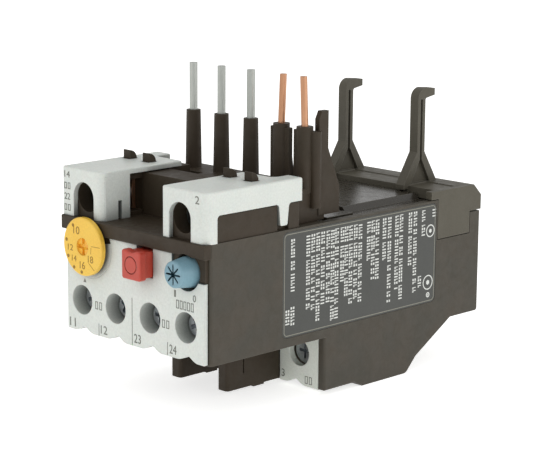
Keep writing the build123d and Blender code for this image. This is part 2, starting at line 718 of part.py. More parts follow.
def pole_base():
    """Rear housing: three terminal compartments in front, three bimetal chambers behind."""
    inset = SEAM / 2
    profile = outline([
        (PLATE_FRONT, REAR_FLOOR_Z),
        (FOOT_FRONT - FOOT_RAMP, REAR_FLOOR_Z),
        (FOOT_FRONT, 0.0),
        (FOOT_REAR, 0.0),
        HEEL,
        (TAIL_START, TAIL_Z),
        (TAIL_END, TAIL_Z),
        (TAIL_END, TAIL_TOP_Z),
        (CHEEK_REAR + SEAM, TAIL_TOP_Z),
        (CHEEK_REAR + SEAM, POLE_TOP_Z),
        (PLATE_FRONT, POLE_TOP_Z),
    ])
    profile = rounded(profile, [(FOOT_REAR, 0.0), HEEL], FOOT_RAMP)
    base = along_x(profile, -INNER_HALF + inset, INNER_HALF - inset)
    chamber = outline([
        (CHAMBER_FRONT, CHAMBER_FLOOR_Z),
        (HEEL[0], CHAMBER_FLOOR_Z),
        (CHAMBER_TAIL_Y, CHAMBER_TAIL_Z),
        (CHAMBER_REAR, CHAMBER_TAIL_Z),
        (CHAMBER_REAR, POLE_TOP_Z + OVERRUN),
        (CHAMBER_FRONT, POLE_TOP_Z + OVERRUN),
    ])
    half = (POLE_PITCH - POLE_WALL_T) / 2
    for x in POLE_X:
        left = max(x - half, -INNER_HALF + WALL_T)
        right = min(x + half, INNER_HALF - WALL_T)
        base = base - along_x(chamber, left, right)
        base = base - block(
            left, right, PLATE_FRONT - OVERRUN, MAIN_CHAMBER_REAR, -OVERRUN, MAIN_CEILING_Z,
        )
        base = base - block(
            x - PLATE_HALF - inset, x + PLATE_HALF + inset, PLATE_FRONT - OVERRUN, PLATE_FRONT + PLATE_T,
            -OVERRUN, PLATE_TOP_Z + inset,
        )
        base = base - rod_y(
            x, MAIN_Z, MAIN_SHANK_R + RUN_GAP, MAIN_CHAMBER_REAR - OVERRUN, MAIN_CHAMBER_REAR + OVERRUN,
        )
        base = base - block(
            x - STRAP_W / 2 - inset, x + STRAP_W / 2 + inset,
            MAIN_CHAMBER_REAR - OVERRUN, CHAMBER_FRONT + OVERRUN, STRAP_Z, STRAP_Z + STRAP_T,
        )
        base = base - block(
            x - LEAD_W / 2 - inset, x + LEAD_W / 2 + inset, PLATE_FRONT - OVERRUN, CHAMBER_FRONT + OVERRUN,
            LEAD_LOW_Z - inset, POLE_TOP_Z + OVERRUN,
        )
    slide_front = BIMETAL_Y - SLIDE_W / 2 - SLIDE_GAP
    slide_rear = BIMETAL_Y + SLIDE_W / 2 + SLIDE_GAP
    base = base - block(
        -INNER_HALF - OVERRUN, INNER_HALF - WALL_T, slide_front, slide_rear,
        SLIDE_FLOOR_Z - SLIDE_GAP, POLE_TOP_Z + OVERRUN,
    )
    base = base - block(
        -INNER_HALF - OVERRUN, LEVER_X + LEVER_W, PLATE_FRONT - OVERRUN, slide_rear,
        LEVER_FLOOR_Z - SLIDE_GAP, LEVER_FLOOR_Z + SLIDE_T + SLIDE_GAP,
    )
    hollow = block(
        -INNER_HALF - OVERRUN + WALL_T, INNER_HALF - WALL_T, PLATE_FRONT + WALL_T, CHAMBER_FRONT - WALL_T,
        MAIN_CEILING_Z + WALL_T, LEVER_FLOOR_Z - SLIDE_GAP - WALL_T,
    )
    return base - (hollow & block(-INNER_HALF + WALL_T, INNER_HALF, 0.0, BRACKET_END, 0.0, DECK_Z))


def deck_cover():
    """Top cover of the pole chambers, raised in the middle, with a sunken shelf in front."""
    deck = block(-INNER_HALF, INNER_HALF, DECK_FRONT, DECK_REAR, POLE_TOP_Z, DECK_LOW_Z)
    slope = DECK_RAISED_Z - DECK_LOW_Z
    raised = outline([
        (-DECK_RAISED_HALF - slope, DECK_LOW_Z - slope / 4),
        (DECK_RAISED_HALF + slope, DECK_LOW_Z - slope / 4),
        (DECK_RAISED_HALF, DECK_RAISED_Z),
        (-DECK_RAISED_HALF, DECK_RAISED_Z),
    ])
    deck = deck + along_y(raised, DECK_RAISED_FRONT, DECK_REAR)
    for side in (-1, 1):
        shelf = block(
            side * DECK_RAISED_HALF, side * (INNER_HALF - WALL_T), DECK_SHELF_FRONT, DECK_SHELF_REAR,
            DECK_LOW_Z, DECK_Z,
        )
        deck = deck + shelf
    return deck


def hook():
    """One upright hook with its ribbed foot, on the right."""
    x0 = HOOK_X - HOOK_WIDTH / 2
    x1 = HOOK_X + HOOK_WIDTH / 2
    rear = HOOK_FRONT + HOOK_DEPTH
    arm_floor = HOOK_TOP_Z - HOOK_TIP_T
    side = outline([
        (HOOK_ROOT_FRONT, BRACKET_TOP_Z - OVERRUN),
        (HOOK_ROOT_FRONT, BRACKET_TOP_Z),
        (HOOK_FRONT, HOOK_NECK_Z),
        (HOOK_FRONT, HOOK_TOP_Z),
        (HOOK_TIP, HOOK_TOP_Z - HOOK_TIP_T / 4),
        (HOOK_TIP, arm_floor),
        (rear, arm_floor - HOOK_TIP_T / 4),
        (rear, HOOK_NECK_Z),
        (HOOK_ROOT_REAR, BRACKET_TOP_Z),
        (HOOK_ROOT_REAR, BRACKET_TOP_Z - OVERRUN),
    ])
    side = rounded(side, [(HOOK_FRONT, HOOK_TOP_Z)], HOOK_DEPTH)
    side = rounded(side, [(rear, arm_floor - HOOK_TIP_T / 4)], HOOK_TIP_T / 4)
    body = along_x(side, x0, x1)
    pocket = outline([
        (HOOK_ROOT_FRONT + 2 * HOOK_RIB_T, BRACKET_TOP_Z),
        (HOOK_FRONT + HOOK_DEPTH / 2, HOOK_NECK_Z - HOOK_RIB_T),
        (HOOK_ROOT_REAR - 2 * HOOK_RIB_T, BRACKET_TOP_Z),
    ])
    middle = HOOK_FRONT + HOOK_DEPTH / 2
    half = HOOK_GROOVE_W / 2
    groove = span(middle - half, middle + half, HOOK_NECK_Z - 2 * HOOK_RIB_T, HOOK_GROOVE_TOP_Z)
    return body - along_x(pocket + groove, x1 - HOOK_POCKET, x1 + OVERRUN)


def hook_bracket():
    """Rear cross bar with side cheeks, rear skirt and two hooks."""
    profile = outline([
        (BRACKET_FRONT, BRACKET_TOP_Z - BRACKET_T),
        (BRACKET_FRONT, BRACKET_TOP_Z - SEAM),
        (BRACKET_STEP, BRACKET_TOP_Z - SEAM),
        (BRACKET_STEP, BRACKET_TOP_Z),
        (BRACKET_END - BRACKET_CHAMFER, BRACKET_TOP_Z),
        (BRACKET_END, BRACKET_TOP_Z - BRACKET_CHAMFER),
        (BRACKET_END, SKIRT_FLOOR_Z),
        (CHEEK_REAR + 2 * SEAM, SKIRT_FLOOR_Z),
        (CHEEK_REAR + 2 * SEAM, BRACKET_TOP_Z - BRACKET_T),
    ])
    bar = along_x(profile, -INNER_HALF, INNER_HALF)
    cheek = outline([
        (CHEEK_FRONT, CHEEK_FLOOR_Z),
        (CHEEK_FRONT, DECK_Z + SEAM),
        (CHEEK_TOP_FRONT, DECK_Z + SEAM),
        (CHEEK_TOP_FRONT, BRACKET_TOP_Z),
        (BRACKET_END - BRACKET_CHAMFER, BRACKET_TOP_Z),
        (BRACKET_END, BRACKET_TOP_Z - BRACKET_CHAMFER),
        (BRACKET_END, SKIRT_FLOOR_Z),
        (CHEEK_REAR, SKIRT_FLOOR_Z),
        (CHEEK_REAR, CHEEK_FLOOR_Z),
    ])
    side = along_x(cheek, INNER_HALF, HALF)
    right_hook = hook()
    return bar + side + mirrored(side) + right_hook + Pos(-2 * HOOK_X, 0, 0) * right_hook


def block_inner(shroud_inner):
    """Inner side of a terminal block, under its shroud."""
    return shroud_inner + SHROUD_T + SEAM / 2


def terminal_block(shroud_inner, arch_x, catch_x):
    """Dark block of an upper terminal, with its chamber and two catches on top."""
    inner = block_inner(shroud_inner)
    outer = HALF - SHROUD_T - SEAM / 2
    body = block(inner, outer, SHROUD_T + SEAM / 2, BLOCK_REAR, DECK_Z, BLOCK_TOP_Z)
    pad = outer + SHROUD_T - SEAM
    body = body + block(outer, pad, WINDOW_FRONT + SEAM, WINDOW_REAR - SEAM, DECK_Z, WINDOW_TOP_Z - SEAM)
    body = body + block(outer, pad, LEG_REAR + SEAM, BLOCK_REAR, DECK_Z, WINDOW_TOP_Z - SEAM)
    body = body - rod_y(arch_x, ARCH_Z, ARCH_R, 0.0, UPPER_CHAMBER_FRONT + OVERRUN)
    body = body - block(
        inner - OVERRUN, arch_x + UPPER_CHAMBER_HALF, UPPER_CHAMBER_FRONT, UPPER_CHAMBER_REAR,
        UPPER_FLOOR_Z, UPPER_CEILING_Z,
    )
    body = body - rod_y(
        arch_x, ARCH_Z, UPPER_SHANK_R + SEAM, UPPER_CHAMBER_REAR - OVERRUN, UPPER_SCREW_END + SEAM,
    )
    quarter = span(CATCH_Y, CATCH_Y + CATCH_R, SHROUD_TOP_Z, SHROUD_TOP_Z + CATCH_R)
    catch = disc(CATCH_Y, SHROUD_TOP_Z, CATCH_R) & quarter
    catch = catch + span(CATCH_Y, CATCH_Y + CATCH_R, BLOCK_TOP_Z, SHROUD_TOP_Z)
    for x in catch_x:
        body = body + along_x(catch, x - CATCH_W / 2, x + CATCH_W / 2)
    return body - upper_lead_slot(arch_x)


def upper_lead_slot(arch_x):
    """Groove in the underside of the block for the lead that runs back to the wire."""
    left = arch_x - STRIP_W / 2 - SEAM
    right = arch_x + STRIP_W / 2 + SEAM
    low = DECK_Z - OVERRUN
    groove = block(left, right, UPPER_PLATE_FRONT, BLOCK_REAR + OVERRUN, low, DECK_Z + 2 * LEAF_T)
    return groove + block(left, right, UPPER_PLATE_FRONT, UPPER_CHAMBER_REAR, low, UPPER_FLOOR_Z + OVERRUN)


def centre_block():
    """Dark block between the two upper terminals."""
    profile = outline([
        (CENTRE_FRONT, DECK_Z),
        (CENTRE_FRONT, BLOCK_TOP_Z),
        (CENTRE_REAR - COVER_T, BLOCK_TOP_Z),
        (CENTRE_REAR, BLOCK_TOP_Z - COVER_T),
        (CENTRE_REAR, DECK_Z),
    ])
    return along_x(profile, SEAM / 2 - block_inner(LEFT_INNER), block_inner(RIGHT_INNER) - SEAM / 2)


def shroud(inner, arch_x, catch_x):
    """Light cover of an upper terminal: arch in front, window and leg at the side."""
    top_floor = SHROUD_TOP_Z - SHROUD_T
    plan = outline([
        (inner, 0.0),
        (HALF, 0.0),
        (HALF, SHROUD_TAB_REAR),
        (HALF - SHROUD_TAB_W, SHROUD_TAB_REAR),
        (HALF - SHROUD_TAB_W, SHROUD_REAR),
        (inner, SHROUD_REAR),
    ])
    plan = rounded(plan, [(inner, 0.0), (HALF, 0.0)], SHROUD_CORNER_R)
    plan = rounded(plan, [(HALF - SHROUD_TAB_W, SHROUD_REAR)], SHROUD_NOTCH_R)
    cover = along_z(plan, top_floor, SHROUD_TOP_Z)
    cover = fillet(cover.edges().group_by(Axis.Z)[-1], SHROUD_EDGE_R)
    front = along_z(plan & span(0.0, HALF, 0.0, SHROUD_T), DECK_Z, top_floor)
    arch = disc(arch_x, ARCH_Z, ARCH_R)
    arch = arch + span(arch_x - ARCH_R, arch_x + ARCH_R, DECK_Z - OVERRUN, ARCH_Z)
    front = front - along_y(arch, -OVERRUN, SHROUD_T + OVERRUN)
    side = outline([
        (SHROUD_T, DECK_Z),
        (WINDOW_FRONT, DECK_Z),
        (WINDOW_FRONT, WINDOW_TOP_Z),
        (WINDOW_REAR, WINDOW_TOP_Z),
        (WINDOW_REAR + LEG_TAPER, LEG_FLOOR_Z),
        (LEG_REAR - LEG_TAPER, LEG_FLOOR_Z),
        (LEG_REAR, WINDOW_TOP_Z),
        (SHROUD_TAB_REAR, WINDOW_TOP_Z),
        (SHROUD_TAB_REAR, top_floor),
        (SHROUD_T, top_floor),
    ])
    corners = [(y, WINDOW_TOP_Z) for y in (WINDOW_FRONT, WINDOW_REAR, LEG_REAR)]
    side = rounded(side, corners, WINDOW_R)
    tips = [(y, LEG_FLOOR_Z) for y in (WINDOW_REAR + LEG_TAPER, LEG_REAR - LEG_TAPER)]
    side = rounded(side, tips, LEG_TIP_R)
    outer_wall = along_x(side, HALF - SHROUD_T, HALF) & along_z(plan, DECK_Z, top_floor)
    inner_wall = block(inner, inner + SHROUD_T, SHROUD_T, SHROUD_WALL_REAR, DECK_Z, top_floor)
    inner_wall = inner_wall - block(
        inner - OVERRUN, inner + SHROUD_T + OVERRUN, SLOT_Y - SLOT_W / 2, SLOT_Y + SLOT_W / 2,
        DECK_Z - OVERRUN, SLOT_TOP_Z,
    )
    cover = cover + front + outer_wall + inner_wall
    for x in catch_x:
        half = CATCH_W / 2 + SEAM
        cover = cover - block(
            x - half, x + half, CATCH_Y - 2 * SEAM, CATCH_Y + CATCH_R + SEAM,
            top_floor - OVERRUN, SHROUD_TOP_Z + OVERRUN,
        )
    return cover


def sleeve_carrier():
    """Dark block behind the shrouds with the insulating sleeves, a column and a guide fin."""
    half = INNER_HALF - CARRIER_SIDE
    body = block(-half, half, CARRIER_FRONT, CARRIER_REAR, DECK_Z, SLEEVE_BASE_Z)
    body = body + block(
        -CARRIER_CENTRE_HALF, CARRIER_CENTRE_HALF, CENTRE_REAR + SEAM, CARRIER_REAR,
        DECK_Z, SLEEVE_BASE_Z,
    )
    for x in PIN_X:
        body = body + cone_z(
            x, SLEEVE_Y, SLEEVE_FOOT_R, SLEEVE_TOP_R, SLEEVE_BASE_Z - OVERRUN, SLEEVE_TOP_Z,
        )
    for x in WIRE_X:
        body = body + rod_z(x, SLEEVE_Y, WIRE_SLEEVE_R, SLEEVE_BASE_Z - OVERRUN, SLEEVE_TOP_Z)
        wing = outline([
            (x - WING_REACH / 2 - WING_T, SLEEVE_BASE_Z - OVERRUN),
            (x + WING_REACH / 2 + WING_T + WING_FLARE, SLEEVE_BASE_Z - OVERRUN),
            (x + WING_REACH / 2 + WING_T, (SLEEVE_BASE_Z + WIRE_SLEEVE_TOP_Z) / 2),
            (x + WING_REACH / 2 + WING_T, WIRE_SLEEVE_TOP_Z),
            (x - WING_REACH / 2 - WING_T, WIRE_SLEEVE_TOP_Z),
        ])
        wing = wing & span(-half, half, SLEEVE_BASE_Z - OVERRUN, SLEEVE_TOP_Z)
        body = body + along_y(wing, SLEEVE_Y - WING_T / 2, SLEEVE_Y + WING_T / 2)
    body = body + rod_z(COLUMN_X, COLUMN_Y, COLUMN_R, COLUMN_FOOT_Z, COLUMN_TOP_Z)
    fin = outline([
        (FIN_FRONT, DECK_Z + OVERRUN),
        (FIN_FRONT, FIN_TOP_Z - COVER_T),
        (FIN_FRONT + COVER_T / 2, FIN_TOP_Z),
        (FIN_REAR, FIN_TOP_Z),
        (FIN_REAR, (FIN_TOP_Z + SLEEVE_BASE_Z) / 2),
        (FIN_FOOT_REAR, FIN_FOOT_Z),
        (FIN_FOOT_REAR, DECK_Z + OVERRUN),
    ])
    body = body + along_x(fin, FIN_X - FIN_T / 2, FIN_X + FIN_T / 2)
    for x in PIN_X:
        body = body - rod_z(x, SLEEVE_Y, PIN_SHANK_R + RUN_GAP, DECK_Z - OVERRUN, SLEEVE_TOP_Z + OVERRUN)
    for x in WIRE_X:
        body = body - rod_z(x, SLEEVE_Y, WIRE_R + RUN_GAP, DECK_Z - OVERRUN, SLEEVE_TOP_Z + OVERRUN)
    channel_top = LEAD_REST_Z + LEAD_T
    for face in [lead_plan(pin, pole, SEAM) for pin, pole in zip(PIN_X, POLE_X)] + link_plans(SEAM):
        body = body - along_z(face, DECK_Z - OVERRUN, channel_top)
    return body


def lead_plan(pin_x, pole_x, gap=0.0):
    """Plan of a lead under the sleeves: back from its pin, then across to its pole."""
    half = LEAD_W / 2 + gap
    plan = span(pin_x - half, pin_x + half, SLEEVE_Y - half, LEAD_REAR + gap)
    return plan + span(
        min(pin_x, pole_x) - half, max(pin_x, pole_x) + half, LEAD_CROSS_FRONT - gap, LEAD_REAR + gap,
    )


def pole_leads():
    """Three copper leads from the foot of the pins to the top of the heater windings."""
    leads = []
    drop_front = BIMETAL_Y - BIMETAL_W / 2 - HEATER_GAP - HEATER_WIRE - LEAD_T
    heater_top = HEATER_FLOOR_Z + (HEATER_TURNS - 1) * HEATER_PITCH
    side = outline([
        (LEAD_REAR - LEAD_T, LEAD_REST_Z + LEAD_T),
        (LEAD_REAR, LEAD_REST_Z + LEAD_T),
        (LEAD_REAR, LEAD_LOW_Z + LEAD_T),
        (drop_front + LEAD_T, LEAD_LOW_Z + LEAD_T),
        (drop_front + LEAD_T, heater_top),
        (drop_front, heater_top),
        (drop_front, LEAD_LOW_Z),
        (LEAD_REAR - LEAD_T, LEAD_LOW_Z),
    ])
    for pin_x, pole_x in zip(PIN_X, POLE_X):
        lead = along_z(lead_plan(pin_x, pole_x), LEAD_REST_Z, LEAD_REST_Z + LEAD_T)
        leads.append(lead + along_x(side, pole_x - LEAD_W / 2, pole_x + LEAD_W / 2))
    return leads


def link_plans(gap=0.0):
    """Plans of the two links from the upper terminals to the copper wires."""
    half = LINK_W / 2 + gap
    near_x, far_x = WIRE_X
    left = span(-LEFT_ARCH_X - half, -LEFT_ARCH_X + half, BLOCK_REAR - gap, LINK_CROSS_Y + half)
    left = left + span(-LEFT_ARCH_X - half, near_x + half, LINK_CROSS_Y - half, LINK_CROSS_Y + half)
    left = left + span(near_x - half, near_x + half, LINK_CROSS_Y - half, SLEEVE_Y + half)
    right = span(RIGHT_ARCH_X - half, RIGHT_ARCH_X + half, BLOCK_REAR - gap, SLEEVE_Y + half)
    right = right + span(RIGHT_ARCH_X - half, far_x + half, SLEEVE_Y - half, SLEEVE_Y + half)
    return [left, right]


def wire_links():
    """Two flat links under the sleeves, from the upper terminals to the copper wires."""
    return [along_z(plan, DECK_Z, LEAD_REST_Z + LEAD_T) for plan in link_plans()]


def pole_pins():
    """Three main pins: a thin shank in the sleeve, then the bare length that the contactor clamps."""
    pins = []
    for x in PIN_X:
        shank = rod_z(x, SLEEVE_Y, PIN_SHANK_R, LEAD_REST_Z + LEAD_T, SLEEVE_TOP_Z)
        pins.append(shank + rod_z(x, SLEEVE_Y, PIN_R, SLEEVE_TOP_Z, PIN_TOP_Z))
    return pins


def control_wires():
    """Two copper wires that leave their sleeves and lean a little."""
    wires = []
    for x, lean in zip(WIRE_X, WIRE_LEAN):
        straight = rod_z(x, SLEEVE_Y, WIRE_R, LEAD_REST_Z + LEAD_T, SLEEVE_TOP_Z)
        start = Plane.XY.offset(SLEEVE_TOP_Z) * disc(x, SLEEVE_Y, WIRE_R)
        end = Plane.XY.offset(PIN_TOP_Z) * disc(x + lean, SLEEVE_Y, WIRE_R)
        wires.append(straight + loft([start, end]))
    return wires


def slotted_screw(x, z, head_front, head_radius, head_t, shank_radius, end):
    """A terminal screw along the depth, with a cross recess in its head."""
    screw = rod_y(x, z, head_radius, head_front, head_front + head_t)
    screw = screw + rod_y(x, z, shank_radius, head_front + head_t, end)
    recess = star(x, z, head_radius * 0.65, head_radius / 4, 2)
    return screw - along_y(recess, head_front - OVERRUN, head_front + head_t / 2)


def aux_screws():
    """Screws of the four terminals behind the fascia."""
    sizes = (AUX_HEAD_FRONT, AUX_HEAD_R, AUX_HEAD_T, AUX_SHANK_R, AUX_SCREW_END)
    return [slotted_screw(x, AUX_Z, *sizes) for x in AUX_X]


def clamp_washer(x, z, half, front, thickness, bore):
    """Square clamping washer with a dished wire edge."""
    face = span(x - half, x + half, z - half, z + half) - disc(x, z, bore)
    return along_y(face, front, front + thickness)


def aux_washers():
    """Clamping washers of the four terminals behind the fascia."""
    sizes = (AUX_WASHER_HALF, AUX_WASHER_FRONT, AUX_WASHER_T, AUX_SHANK_R + RUN_GAP)
    return [clamp_washer(x, AUX_Z, *sizes) for x in AUX_X]


def contact_strip(x, tab_front, tip_front, tip_rear):
    """Terminal strip that runs from its screw up and back to a fixed contact."""
    tab_rear = tab_front + STRIP_T
    side = outline([
        (AUX_STRIP_FRONT, STRIP_FLOOR_Z),
        (AUX_CHAMBER_REAR, STRIP_FLOOR_Z),
        (AUX_CHAMBER_REAR, CAVITY_FLOOR_Z),
        (tab_rear, CAVITY_FLOOR_Z),
        (tab_rear, TAB_TOP_Z),
        (tab_front, TAB_TOP_Z),
        (tab_front, CAVITY_FLOOR_Z + STRIP_T),
        (AUX_STRIP_FRONT, CAVITY_FLOOR_Z + STRIP_T),
    ])
    strip = along_x(side, x - STRIP_W / 2, x + STRIP_W / 2)
    strip = strip - rod_y(
        x, AUX_Z, AUX_SHANK_R + RUN_GAP, AUX_STRIP_FRONT - OVERRUN, AUX_CHAMBER_REAR + OVERRUN,
    )
    return strip + rod_y(x, BRIDGE_FLOOR_Z + BRIDGE_H / 2, TIP_R, tip_front, tip_rear)


def nc_strips():
    """Fixed contacts that rest against the closed bridge, in front of it."""
    tip_rear = BRIDGE_FRONT - CONTACT_GAP
    tab_front = tip_rear - TIP_T - STRIP_T
    return [contact_strip(x, tab_front, tip_rear - TIP_T, tip_rear) for x in AUX_X[:2]]


def no_strips():
    """Fixed contacts behind the open bridge, one contact travel away."""
    tip_front = BRIDGE_FRONT + BRIDGE_T + CONTACT_TRAVEL + CONTACT_GAP
    tab_front = tip_front + TIP_T
    return [contact_strip(x, tab_front, tip_front, tab_front) for x in AUX_X[2:]]


def main_screws():
    """Screws of the three main terminals."""
    sizes = (MAIN_HEAD_FRONT, MAIN_HEAD_R, MAIN_HEAD_T, MAIN_SHANK_R, MAIN_SCREW_END)
    return [slotted_screw(x, MAIN_Z, *sizes) for x in POLE_X]


def main_clamps():
    """Square clamping plates of the three main terminals."""
    return [
        clamp_washer(x, MAIN_Z, MAIN_CLAMP_HALF, MAIN_CLAMP_FRONT, MAIN_CLAMP_T, MAIN_SHANK_R + RUN_GAP)
        for x in POLE_X
    ]


def main_strap(x):
    """Copper strap from a main terminal back to the foot of its bimetal strip."""
    side = outline([
        (MAIN_STRAP_FRONT, MAIN_STRAP_FLOOR_Z),
        (MAIN_CHAMBER_REAR, MAIN_STRAP_FLOOR_Z),
        (MAIN_CHAMBER_REAR, STRAP_Z),
        (BIMETAL_Y + BIMETAL_W / 2, STRAP_Z),
        (BIMETAL_Y + BIMETAL_W / 2, STRAP_Z + STRAP_T),
        (MAIN_STRAP_FRONT, STRAP_Z + STRAP_T),
    ])
    strap = along_x(side, x - STRAP_W / 2, x + STRAP_W / 2)
    return strap - rod_y(
        x, MAIN_Z, MAIN_SHANK_R + RUN_GAP, MAIN_STRAP_FRONT - OVERRUN, MAIN_CHAMBER_REAR + OVERRUN,
    )


def main_straps():
    """Straps of the three poles."""
    return [main_strap(x) for x in POLE_X]


def bimetal_strips():
    """Three upright strips that bend when their windings heat them."""
    strips = []
    for x in POLE_X:
        strips.append(block(
            x - BIMETAL_T / 2, x + BIMETAL_T / 2, BIMETAL_Y - BIMETAL_W / 2, BIMETAL_Y + BIMETAL_W / 2,
            STRAP_Z + STRAP_T, BIMETAL_TOP_Z,
        ))
    return strips


def heater_windings():
    """Flat heater turns round each bimetal strip."""
    windings = []
    inner_x = BIMETAL_T / 2 + HEATER_GAP
    inner_y = BIMETAL_W / 2 + HEATER_GAP
    for x in POLE_X:
        ring = span(x - inner_x - HEATER_WIRE, x + inner_x + HEATER_WIRE,
                    BIMETAL_Y - inner_y - HEATER_WIRE, BIMETAL_Y + inner_y + HEATER_WIRE)
        ring = ring - span(x - inner_x, x + inner_x, BIMETAL_Y - inner_y, BIMETAL_Y + inner_y)
        spine = block(
            x + inner_x, x + inner_x + HEATER_WIRE / 2, BIMETAL_Y - HEATER_WIRE, BIMETAL_Y + HEATER_WIRE,
            HEATER_FLOOR_Z, HEATER_FLOOR_Z + HEATER_TURNS * HEATER_PITCH,
        )
        winding = spine
        for turn in range(HEATER_TURNS):
            low = HEATER_FLOOR_Z + turn * HEATER_PITCH
            winding = winding + along_z(ring, low, low + HEATER_WIRE)
        windings.append(winding)
    return windings


def upper_screw(arch_x):
    """Screw of an upper terminal."""
    head_front = UPPER_CHAMBER_FRONT + SEAM
    sizes = (head_front, UPPER_HEAD_R, UPPER_HEAD_T, UPPER_SHANK_R, UPPER_SCREW_END)
    return slotted_screw(arch_x, ARCH_Z, *sizes)


def upper_washer(arch_x):
    """Clamping washer of an upper terminal."""
    half = UPPER_CHAMBER_HALF - 2 * SEAM
    sizes = (half, UPPER_WASHER_FRONT, UPPER_WASHER_T, UPPER_SHANK_R + RUN_GAP)
    return clamp_washer(arch_x, ARCH_Z, *sizes)


def upper_plate(arch_x):
    """Terminal plate of an upper terminal, with the lead that runs back under the block."""
    side = outline([
        (UPPER_PLATE_FRONT, DECK_Z),
        (BLOCK_REAR, DECK_Z),
        (BLOCK_REAR, DECK_Z + LEAF_T),
        (UPPER_CHAMBER_REAR, DECK_Z + LEAF_T),
        (UPPER_CHAMBER_REAR, UPPER_CEILING_Z - SEAM),
        (UPPER_PLATE_FRONT, UPPER_CEILING_Z - SEAM),
    ])
    plate = along_x(side, arch_x - STRIP_W / 2, arch_x + STRIP_W / 2)
    shank = disc(arch_x, ARCH_Z, UPPER_SHANK_R + RUN_GAP)
    return plate - along_y(shank, UPPER_PLATE_FRONT - OVERRUN, UPPER_CHAMBER_REAR + OVERRUN)


def current_dial():
    """Setting dial with its screwdriver recess and stepped shaft."""
    dial = rod_y(DIAL_X, DIAL_Z, DIAL_R, DIAL_FRONT, DIAL_FRONT + DIAL_T)
    dial = chamfer(dial.edges().group_by(Axis.Y)[0], SEAM)
    dial = dial + rod_y(DIAL_X, DIAL_Z, DIAL_SHAFT_R, DIAL_FRONT + DIAL_T, BEARING_WALL_REAR + SEAM)
    dial = dial + rod_y(DIAL_X, DIAL_Z, DIAL_JOURNAL_R, BEARING_WALL_REAR, CAM_FRONT + CAM_T)
    dial = dial - rod_y(DIAL_X, DIAL_Z, DIAL_HUB_R, DIAL_FRONT - OVERRUN, DIAL_FRONT + DIAL_HUB_DEPTH)
    recess = star(DIAL_X, DIAL_Z, DIAL_SLOT_R, DIAL_SLOT_W, 2)
    return dial - along_y(recess, DIAL_FRONT - OVERRUN, DIAL_FRONT + DIAL_SLOT_DEPTH)


def cam_radius(turn):
    """Radius of the setting cam after a turn from its low point."""
    return CAM_LOW_R + CAM_RISE * turn / CAM_TURN


def setting_cam():
    """Spiral cam on the dial's shaft: its radius grows evenly with the turn."""
    points = []
    for step in range(CAM_STEPS + 1):
        turn = CAM_TURN * step / CAM_STEPS
        angle = radians(turn)
        radius = cam_radius(turn)
        points.append((DIAL_X + radius * cos(angle), DIAL_Z + radius * sin(angle)))
    spiral = Spline(*points)
    back = Line(points[-1], points[0])
    face = make_face([spiral, back]) + disc(DIAL_X, DIAL_Z, CAM_LOW_R)
    face = face - disc(DIAL_X, DIAL_Z, DIAL_JOURNAL_R)
    return along_y(face, CAM_FRONT, CAM_FRONT + CAM_T)


def setting_lever():
    """Upright follower that the cam pushes sideways."""
    nose_x = DIAL_X + CAM_LOW_R + CAM_GAP
    arm = outline([
        (FOLLOWER_X - FOLLOWER_W, FOLLOWER_Z),
        (FOLLOWER_X + FOLLOWER_W, FOLLOWER_Z),
        (nose_x + 2 * FOLLOWER_W, DIAL_Z + FOLLOWER_W),
        (nose_x + FOLLOWER_W / 2, DIAL_Z + FOLLOWER_W),
        (nose_x, DIAL_Z),
    ])
    arm = arm + disc(FOLLOWER_X, FOLLOWER_Z, FOLLOWER_W)
    arm = arm - disc(FOLLOWER_X, FOLLOWER_Z, FOLLOWER_PIN_R + RUN_GAP)
    return along_y(arm, CAM_FRONT, CAM_FRONT + CAM_T)


def follower_pin():
    """Steel pin of the follower, held in the bearing wall."""
    pin = disc(FOLLOWER_X, FOLLOWER_Z, FOLLOWER_PIN_R)
    return along_y(pin, BEARING_WALL_REAR - FOLLOWER_PIN_SEAT, CAM_FRONT + CAM_T + SEAM)


def stop_button():
    """Square stop button: cap, narrower stem, flange and rod."""
    top = STOP_Z + STOP_CAP_H / 2
    cap = span(STOP_X - STOP_CAP_W / 2, STOP_X + STOP_CAP_W / 2, STOP_Z - STOP_CAP_H / 2, top)
    cap = fillet(cap.vertices(), STOP_CORNER_R)
    cap = cap - disc(STOP_X, top + STOP_DIP_R - STOP_DIP, STOP_DIP_R)
    button = along_y(cap, STOP_FRONT, STOP_FRONT + STOP_CAP_T)
    button = fillet(button.edges().group_by(Axis.Y)[0], STOP_EDGE_R)
    ring = disc(STOP_X, STOP_Z, STOP_RING_R) - disc(STOP_X, STOP_Z, STOP_RING_R - STOP_RING_T)
    button = button - along_y(ring, STOP_FRONT - OVERRUN, STOP_FRONT + STOP_RING_T)
    stem = Pos(STOP_X, STOP_Z) * Rectangle(STOP_STEM_W, STOP_STEM_H)
    flange_front = FASCIA_T + MOVE_GAP
    button = button + along_y(stem, STOP_FRONT + STOP_CAP_T, flange_front + STOP_FLANGE_T)
    flange = span(
        STOP_X - STOP_STEM_W / 2 - STOP_FLANGE, STOP_X + STOP_STEM_W / 2 + STOP_FLANGE,
        STOP_Z - STOP_STEM_H / 2 - STOP_FLANGE, STOP_Z + STOP_STEM_H / 2,
    )
    button = button + along_y(flange, flange_front, flange_front + STOP_FLANGE_T)
    rod_end = CONTACT_FRONT - STOP_TRAVEL - SLIDE_GAP
    return button + rod_y(STOP_X, STOP_Z, STOP_ROD_R, flange_front, rod_end)


def helical_spring(x, z, radius, front, rear):
    """Compression spring along the depth."""
    length = rear - front - 2 * SPRING_WIRE_R
    path = Helix(pitch=length / SPRING_TURNS, height=length, radius=radius)
    profile = Plane(path @ 0, z_dir=path % 0) * Circle(SPRING_WIRE_R)
    coil = sweep(profile, path=path)
    return Pos(x, front + SPRING_WIRE_R, z) * Rot(-90, 0, 0) * coil


